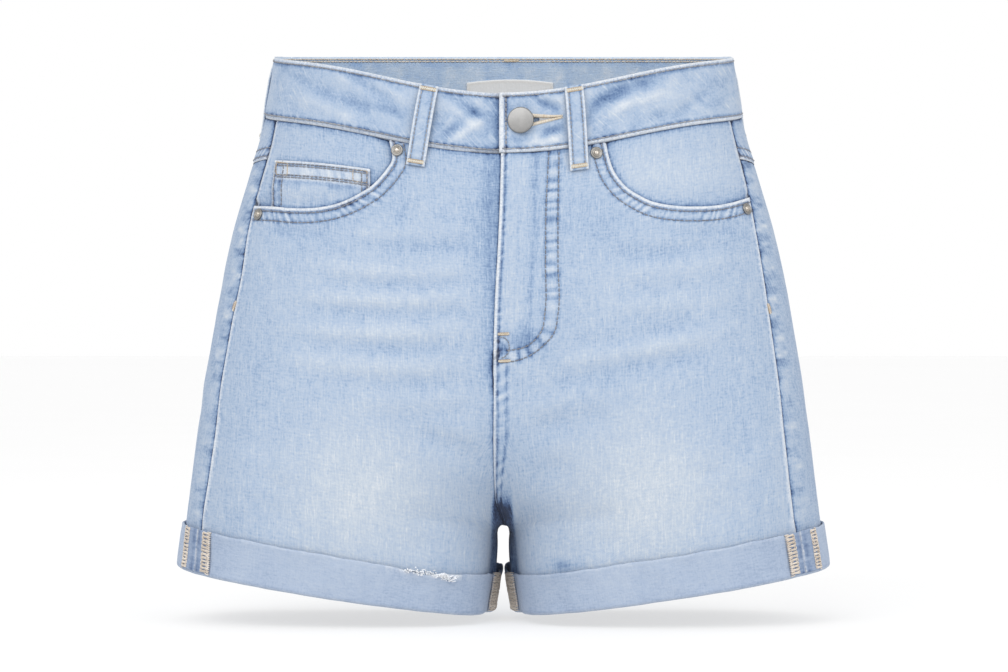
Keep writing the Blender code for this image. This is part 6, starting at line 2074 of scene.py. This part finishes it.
def cloth_material(name, stops, white, back_stops, strengths, slope=1.0, scratch=0.0):
    g = Graph(name, 0.92, Sheen_Weight=0.12, Sheen_Roughness=0.5, Specular_IOR_Level=0.25)
    uv = g.node("ShaderNodeUVMap", uv_map="cloth").outputs[0]
    split = g.node("ShaderNodeSeparateColor")
    g.put(split.inputs[0], g.node("ShaderNodeAttribute", attribute_name="dye").outputs["Color"])
    slub = g.noise(uv, (820, 135, 1), 3.0, 0.55)
    streak = g.noise(uv, (420, 22, 1), 2.0, 0.5)
    weft = g.noise(uv, (170, 780, 1), 2.0, 0.5)
    grain = g.noise(uv, (690, 640, 1), 2.0, 0.6)
    mottle = g.noise(uv, (120, 95, 1), 3.0, 0.6)
    blotch = g.noise(uv, (30, 24, 1), 4.0, 0.6)
    twill = g.node("ShaderNodeTexWave", wave_type="BANDS", bands_direction="DIAGONAL")
    g.put(twill.inputs["Vector"], g.scaled(uv, (700, 620, 1)))
    twill.inputs["Scale"].default_value = 1.0
    twill.inputs["Distortion"].default_value = 1.2
    s = strengths
    extra = []
    if "pale" in s:  # single undyed warp threads
        lines = g.noise(uv, (1180, 88, 1), 2.0, 0.55)
        made = g.node("ShaderNodeClamp")
        g.put(made.inputs[0], g.math("MULTIPLY", g.sum((lines, 9.0, 0.56)), 1.0))
        extra.append((made.outputs[0], s["pale"], 0.10))
    if scratch:  # fine pale creases that cross each other on the bias, in patches
        where = g.noise(uv, (55, 45, 1), 2.0, 0.5)
        for k, angle in enumerate((0.80, -0.66)):
            lines = g.noise(g.turn(uv, angle), (70, 620, 1) if k else (620, 70, 1), 2.0, 0.5)
            made = g.node("ShaderNodeClamp")
            g.put(made.inputs[0], g.math("MULTIPLY", g.sum((lines, 7.0, 0.585)), g.math("MULTIPLY_ADD", where, 4.0, -1.5)))
            extra.append((made.outputs[0], scratch * (0.55, 0.45)[k], 0.12))
    tone = g.sum(
        *extra, (split.outputs[1], 1.0, 0.0), (slub, s["slub"], 0.5), (streak, s["streak"], 0.5), (weft, s["weft"], 0.5), (grain, s["grain"], 0.5),
        (mottle, s["mottle"], 0.5), (blotch, s["blotch"], 0.5), (twill.outputs["Fac"], 0.06, 0.5),
    )
    factor = g.math("MULTIPLY_ADD", tone, 0.5, 0.5)
    colour = g.ramp(factor, stops)
    worn = g.math("MULTIPLY", split.outputs[0], g.sum((weft, 0.9, -0.35), (grain, 1.5, 0.5)))
    worn_node = g.node("ShaderNodeClamp")
    g.put(worn_node.inputs[0], worn)
    colour = g.mix(worn_node.outputs[0], colour, white)
    behind = g.ramp(g.math("MULTIPLY_ADD", g.sum((tone, 0.6, 0.0), (weft, 0.9, 0.5)), 0.5, 0.5), back_stops)
    turned_over = g.node("ShaderNodeClamp")
    g.put(turned_over.inputs[0], split.outputs[2])
    colour = g.mix(turned_over.outputs[0], colour, behind)
    g.put(g.shader.inputs["Base Color"], colour)
    height = g.sum((slub, 0.9, 0.5), (weft, 0.5, 0.5), (grain, 0.45, 0.5), (twill.outputs["Fac"], 0.16, 0.5), (mottle, 0.5, 0.5))
    g.bump(height, 0.00042 * slope, 0.8)
    rough = g.math("MULTIPLY_ADD", grain, 0.10, 0.86)
    g.put(g.shader.inputs["Roughness"], rough)
    return g.material


def thread_material(name, stops):
    g = Graph(name, 0.75, Sheen_Weight=0.1, Specular_IOR_Level=0.3)
    place = g.node("ShaderNodeTexCoord").outputs["Object"]
    grain = g.noise(place, (2600, 2600, 2600), 2.0, 0.6)
    patch_noise = g.noise(place, (60, 60, 60), 2.0, 0.5)
    tint = g.node("ShaderNodeAttribute", attribute_name="tint").outputs["Fac"]
    g.put(g.shader.inputs["Base Color"], g.ramp(g.sum((tint, 0.75, -0.1), (grain, 0.5, 0.5), (patch_noise, 0.5, 0.5)), stops))
    ply = g.node("ShaderNodeTexWave", wave_type="BANDS", bands_direction="DIAGONAL")
    g.put(ply.inputs["Vector"], g.scaled(place, (1100, 1100, 1100)))
    g.bump(g.sum((ply.outputs["Fac"], 0.7, 0.5), (grain, 0.6, 0.5)), 0.00012, 0.8)
    return g.material


def metal_material(name, dark, light, roughness):
    g = Graph(name, roughness, 1.0)
    place = g.node("ShaderNodeTexCoord").outputs["Object"]
    cloud = g.noise(place, (220, 220, 220), 3.0, 0.6)
    fine = g.noise(place, (3200, 3200, 3200), 2.0, 0.6)
    g.put(g.shader.inputs["Base Color"], g.ramp(g.sum((cloud, 1.6, 0.2), (fine, 0.4, 0.5)), ((0.0, dark), (1.0, light))))
    g.put(g.shader.inputs["Roughness"], g.sum((cloud, 0.10, 0.5 - roughness / 0.10), (fine, 0.12, 0.5)))
    g.bump(fine, 0.00005, 0.5)
    return g.material


def make_materials():
    L = LIGHT
    strengths = {"pale": 0.24, "slub": 0.70, "streak": 0.30, "weft": 0.56, "grain": 0.66, "mottle": 0.28, "blotch": 0.26}
    denim = cloth_material(
        "denim", (
            (0.0, linear(42, 58, 90, L)), (0.09, linear(70, 95, 138, L)), (0.22, linear(114, 142, 182, L)), (0.40, linear(157, 180, 211, L)),
            (0.5, linear(178, 197, 222, L)),
            (0.61, linear(191, 206, 226, L)), (0.75, linear(207, 218, 231, L)), (1.0, linear(236, 240, 244, L)),
        ), linear(240, 244, 249, L), (
            (0.0, linear(120, 135, 160, L)), (0.5, linear(176, 188, 206, L)), (1.0, linear(226, 231, 238, L)),
        ), strengths,
    )
    band = cloth_material(
        "denim_band", (
            (0.0, linear(42, 58, 90, L)), (0.09, linear(70, 95, 138, L)), (0.22, linear(114, 142, 182, L)), (0.40, linear(157, 180, 211, L)),
            (0.5, linear(178, 197, 222, L)),
            (0.61, linear(191, 206, 226, L)), (0.75, linear(207, 218, 231, L)), (1.0, linear(236, 240, 244, L)),
        ), linear(240, 244, 249, L), (
            (0.0, linear(120, 135, 160, L)), (0.5, linear(176, 188, 206, L)), (1.0, linear(226, 231, 238, L)),
        ), {"slub": 0.28, "streak": 0.0, "weft": 0.30, "grain": 0.60, "mottle": 0.72, "blotch": 0.80}, scratch=0.9,
    )
    inside = cloth_material(
        "denim_inside", (
            (0.0, linear(40, 58, 96, L)), (0.22, linear(104, 141, 192, L)), (0.40, linear(147, 180, 222, L)), (0.5, linear(170, 198, 234, L)),
            (0.75, linear(201, 220, 242, L)), (1.0, linear(232, 240, 250, L)),
        ), linear(238, 244, 252, L), (
            (0.0, linear(120, 135, 160, L)), (0.5, linear(176, 188, 206, L)), (1.0, linear(226, 231, 238, L)),
        ), {"slub": 0.40, "streak": 0.10, "weft": 0.30, "grain": 0.60, "mottle": 0.60, "blotch": 0.70}, scratch=0.5,
    )
    reverse = cloth_material(
        "denim_reverse", (
            (0.0, linear(84, 106, 146, L)), (0.22, linear(130, 151, 185, L)), (0.5, linear(180, 196, 220, L)), (0.72, linear(200, 212, 229, L)),
            (1.0, linear(234, 239, 245, L)),
        ), linear(240, 243, 247, L), (
            (0.0, linear(90, 115, 155, L)), (0.5, linear(160, 182, 212, L)), (1.0, linear(214, 223, 236, L)),
        ), {"slub": 0.36, "streak": 0.10, "weft": 0.52, "grain": 0.50, "mottle": 0.25, "blotch": 0.30}, 0.8,
    )
    label = cloth_material(
        "label", (
            (0.0, linear(220, 218, 214, L)), (0.5, linear(248, 248, 247, L)), (1.0, linear(254, 254, 254, L)),
        ), linear(240, 236, 230, L), ((0.0, linear(170, 150, 128, L)), (1.0, linear(240, 232, 222, L))),
        {"slub": 0.20, "streak": 0.10, "weft": 0.30, "grain": 0.25, "mottle": 0.10, "blotch": 0.15}, 0.5,
    )
    made = {
        "denim": denim, "denim_band": band, "denim_inside": inside, "denim_reverse": reverse, "label": label,
        "metal": metal_material("satin_metal", (0.35, 0.345, 0.335, 1), (0.46, 0.455, 0.445, 1), 0.42),
        "pewter": metal_material("antique_nickel", (0.20, 0.195, 0.185, 1), (0.33, 0.32, 0.305, 1), 0.42),
        "bronze": metal_material("worn_bronze", (0.34, 0.30, 0.25, 1), (0.62, 0.58, 0.53, 1), 0.38),
        "button": metal_material("satin_button", (0.215, 0.213, 0.21, 1), (0.285, 0.282, 0.278, 1), 0.40),
        "tan": thread_material("thread_tan", (
            (0.0, linear(110, 116, 130, L)), (0.5, linear(151, 153, 161, L)), (1.0, linear(208, 204, 202, L)),
        )),
        "grey": thread_material("thread_grey", (
            (0.0, linear(114, 120, 136, L)), (0.5, linear(166, 168, 174, L)), (1.0, linear(224, 222, 218, L)),
        )),
        "orange": thread_material("thread_orange", (
            (0.0, linear(206, 178, 142, L)), (0.4, linear(226, 207, 178, L)), (0.7, linear(246, 236, 216, L)), (1.0, linear(254, 252, 244, L)),
        )),
        "cream": thread_material("thread_cream", (
            (0.0, linear(206, 176, 140, L)), (0.5, linear(238, 224, 202, L)), (1.0, linear(254, 249, 240, L)),
        )),
        "edging": thread_material("thread_edging", (
            (0.0, linear(152, 138, 124, 0.85)), (0.4, linear(198, 185, 171, 0.9)), (1.0, linear(238, 229, 218, 0.95)),
        )),
        "beige": thread_material("thread_beige", (
            (0.0, linear(176, 160, 146, L)), (0.5, linear(222, 208, 190, L)), (1.0, linear(246, 238, 224, L)),
        )),
        "white": thread_material("thread_white", ((0.0, linear(240, 244, 250, 0.95)), (1.0, linear(254, 254, 255, 1.0)))),
    }
    floor = Graph("floor", 0.9, Specular_IOR_Level=0.1)
    place = floor.node("ShaderNodeTexCoord").outputs["Object"]
    floor.put(floor.shader.inputs["Base Color"], floor.ramp(floor.noise(place, (3, 3, 3)), ((0.0, (0.325, 0.325, 0.325, 1)), (1.0, (0.34, 0.34, 0.34, 1)))))
    floor.shader.inputs["Emission Color"].default_value = (1, 1, 1, 1)
    floor.shader.inputs["Emission Strength"].default_value = 0.61
    made["floor"] = floor.material
    return made


# ----------------------------------------------------------------------------------------------------------------- making
MATERIALS = make_materials()
FRONT, HIP, BACK, YOKE = {}, {}, {}, {}
for side in (1, -1):
    FRONT[side] = front_shell(side)
    HIP[side] = facing_shell(side)
    BACK[side] = back_shell(side)
    YOKE[side] = yoke_shell(side)
    cuff_shell(side)
    for place in ALLOWANCES:
        allowance_shell(place, side)
COIN = coin_shell()
band_shell()
for number, spec in enumerate(LOOPS):
    loop_shell(spec, 600 + number)
label_shell()
button()
rivets()

threads = {name: Threads("thread_" + name) for name in ("front", "band", "inside", "back", "loops")}
side_tacks = Threads("thread_side_tacks")
tacks, edging, hole_thread, loose = Threads("thread_bartacks"), Threads("thread_overlock"), Threads("thread_buttonhole"), Threads("thread_frayed")


def rows_along(group, line, inward, rows, outline, to_place, levels, seed, **how):
    for k, row in enumerate(rows):
        kept = runs_inside(offset(resample(line, 0.8), inward * row), outline)
        if len(kept) > 4:
            sew(group, kept, to_place, levels, seed + k, **how)


for side in (1, -1):
    _, levels, outline = FRONT[side]
    place_on = (lambda own: lambda p: from_front(p, own))(side)
    inward = 1 if inside_right(MOUTH_LINES[side], outline) else -1
    rows_along(threads["front"], MOUTH_LINES[side], inward, MOUTH_ROWS, outline, place_on, levels, 700 + 10 * side, tint=0.35)
    if side > 0:
        fork = -CROTCH_V / MM
        rows_along(threads["front"], np.array([[-0.75, 41.0], [-0.75, 184.0]]), -1, (3.0,), outline, place_on, levels, 720, tint=0.35)
        rows_along(threads["front"], np.array([[-0.75, 184.0], [-0.75, fork - 1.5]]), -1, (2.6, 8.6), outline, place_on, levels, 722, tint=0.4)
        for k, (name, line) in enumerate(J_LINES.items()):
            sew(threads["front"], runs_inside(line, outline), place_on, levels, 730 + k, tint=0.45)
    _, levels, outline = BACK[side]
    place_on = (lambda own: lambda p: from_back(p, own))(side)
    if side > 0:
        rows_along(threads["back"], np.array([[-0.6, 109.0], [-0.6, fork - 1.5]]), -1, (2.6, 8.6), outline, place_on, levels, 740, tint=0.4)
    _, levels, low = YOKE[side]
    for k, row in enumerate((2.6, 8.8)):
        kept = resample(low[2:-1] - (0, row), 0.8)
        sew(threads["back"], kept, place_on, levels, 750 + 4 * side + k, tint=0.4)
    if side > 0:
        for k, row in enumerate((2.0, 8.0)):
            sew(threads["back"], np.array([[row, 41.5], [row, 107.0]]), place_on, levels, 760 + k, tint=0.4)

for k, (start, end, face) in enumerate((
    ((1.5, 2.5), (BAND_LONG - 1.5, 2.5), "outer"), ((1.5, BAND_TALL - 2.5), (BAND_LONG - 1.5, BAND_TALL - 2.5), "outer"),
    ((1.5, 1.5), (BAND_LONG - 1.5, 1.5), "inner"), ((1.5, 3.1), (BAND_LONG - 1.5, 3.1), "inner"),
    ((1.5, BAND_TALL - 2.5), (BAND_LONG - 1.5, BAND_TALL - 2.5), "inner"), ((4.6, 3.5), (4.6, BAND_TALL - 3.5), "outer"),
)):
    if face == "outer":
        sew(threads["band"], np.array([start, end]), from_band, band_levels, 770 + k, face=face, tint=0.5, radius=0.50, gap=0.14)
    else:
        sew(threads["inside"], np.array([start, end]), from_band, band_levels, 770 + k, face=face, tint=0.80, radius=0.5, gap=0.12, pitch=2.9)

_, levels, coin = COIN
place_on = place_on_coin = lambda p: from_front(p, -1)
for k, (name, row) in enumerate((("top", 2.0), ("top", 3.5), ("top", 9.6), ("top", 11.1), ("left", 2.0), ("left", 5.6), ("right", 2.0), ("right", 9.4))):
    line = coin[name]
    inward = 1 if inside_right(line, np.vstack([coin["top"], coin["right"][1:], coin["left"][:-1]])) else -1
    sew(threads["front"], offset(line, inward * row)[2:-2], place_on, levels, 780 + k, tint=0.5)

for number, spec in enumerate(LOOPS):
    loop_threads(threads["loops"], tacks, spec, 600 + number)
for side in (1, -1):
    for k, place in enumerate(ALLOWANCES):
        overlock(edging, place, side, 800 + 10 * k + side)
buttonhole_threads(hole_thread)
frayed(loose)


def tack_at(side, px, py, level, length, width, seed, turn=0.0, tint=0.5, group=None):
    """A bartack at a place of the photograph's frame, `turn` degrees from level."""
    q, v = FORM.seen(side, [px], [py])
    high, _ = broad(np.array([float(side)]), q, v)
    p, n, down, out = spot(side, q[0], v[0], level + high[0])
    right = out * side
    a = math.radians(turn)
    bartack(group or tacks, p, n, right * math.cos(a) + down * math.sin(a), length, width, seed, tint)


def sewn_path(group, side, table, to_place, levels, seed, **how):
    """A row of thread along a path given in the photograph's frame."""
    px, py = np.array(table, float).T
    q, v = FORM.seen(side, px, py)
    sew(group, resample(front_flat(side, q, v), 0.8), to_place, levels, seed, **how)


tack_at(1, 503.5, 334, 0.15 * MM, 7.0, 1.4, 900)
tack_at(1, 504.5, 361, 0.15 * MM, 7.4, 1.4, 902)
tack_at(-1, 282, 161.8, -0.9 * MM, 7.6, 1.5, 904)
for side, px, py in ((-1, 233.5, 306), (1, 770.5, 308.6)):
    tack_at(side, px, py, 0.2 * MM, 6.4, 2.2, 906 + side, 80 * side, 0.5, side_tacks)
_, levels, _ = FRONT[1]
sewn_path(
    threads["front"], 1, ((499, 337.5), (504, 337.5), (508, 341), (509.5, 347), (508.5, 353), (504, 357.5), (499, 358)),
    lambda p: from_front(p, 1), levels, 910, tint=0.6, pitch=2.0, radius=0.34,
)
for number, (x0, y0, x1, y1) in enumerate(((277.5, 162.5, 288.5, 175.0), (353.5, 170.0, 367.0, 181.5))):  # the square tacks of the coin pocket
    sewn_path(
        tacks, -1, ((x0, y0), (x1, y0 + 1.2), (x1 - 0.3, y1 + 0.8), (x0 - 0.3, y1), (x0, y0)),
        place_on_coin, COIN[1], 920 + number, tint=0.25, pitch=1.6, radius=0.30, gap=0.10, start=0.2,
    )
p, n, down, out = spot(1, 1.9995, -2.4 * MM, BAND_IN - 0.1 * MM)  # the back loop's tack, seen on the waistband's inner face
bartack(tacks, p, -n, out, 9.6, 1.7, 930, 0.4, 0.25)

threads["front"].build(MATERIALS["tan"])
threads["band"].build(MATERIALS["grey"])
threads["inside"].build(MATERIALS["beige"])
threads["back"].build(MATERIALS["tan"])
threads["loops"].build(MATERIALS["grey"])
tacks.build(MATERIALS["orange"])
side_tacks.build(MATERIALS["cream"])
edging.build(MATERIALS["edging"], "denim_reverse")
hole_thread.build(MATERIALS["cream"])
loose.build(MATERIALS["white"])


# ------------------------------------------------------------------------------------------------------------ the studio
def studio():
    scene = bpy.context.scene
    camera = bpy.data.objects.new("camera", bpy.data.cameras.new("camera"))
    camera.location = CAMERA
    camera.rotation_euler = (math.pi / 2, 0, 0)
    camera.data.sensor_width = 36.0
    camera.data.lens = FOCAL_PX / 1008 * 36.0
    camera.data.clip_end = 200
    scene.collection.objects.link(camera)
    scene.camera = camera

    size, z = 30.0, -0.3765
    floor = make_object("floor", np.array([(-size, -size, z), (size, -size, z), (size, size, z), (-size, size, z)]), [np.array([[0, 1, 2, 3]])])
    floor.data.materials.append(MATERIALS["floor"])

    def area(name, at, aim, wide, tall, watts):
        light = bpy.data.lights.new(name, "AREA")
        light.shape, light.size, light.size_y, light.energy = "RECTANGLE", wide, tall, watts
        obj = bpy.data.objects.new(name, light)
        direction = np.array(aim) - np.array(at)
        obj.location = at
        yaw, pitch = math.atan2(-direction[0], direction[1]), math.atan2(direction[2], math.hypot(direction[0], direction[1]))
        obj.rotation_euler = (math.pi / 2 + pitch, 0, yaw)
        obj.visible_camera = False
        scene.collection.objects.link(obj)

    area("key", (-1.3, -2.6, 1.9), (0, 0, -0.2), 2.6, 2.0, 52)
    area("fill", (1.9, -2.4, 0.9), (0, 0, -0.2), 2.2, 1.8, 26)
    world = bpy.data.worlds.new("studio")
    scene.world = world
    world.use_nodes = True
    back = next(n for n in world.node_tree.nodes if n.type == "BACKGROUND")
    back.inputs[0].default_value = (1, 1, 1, 1)
    back.inputs[1].default_value = 1.0
    scene.view_settings.view_transform = "Standard"


studio()
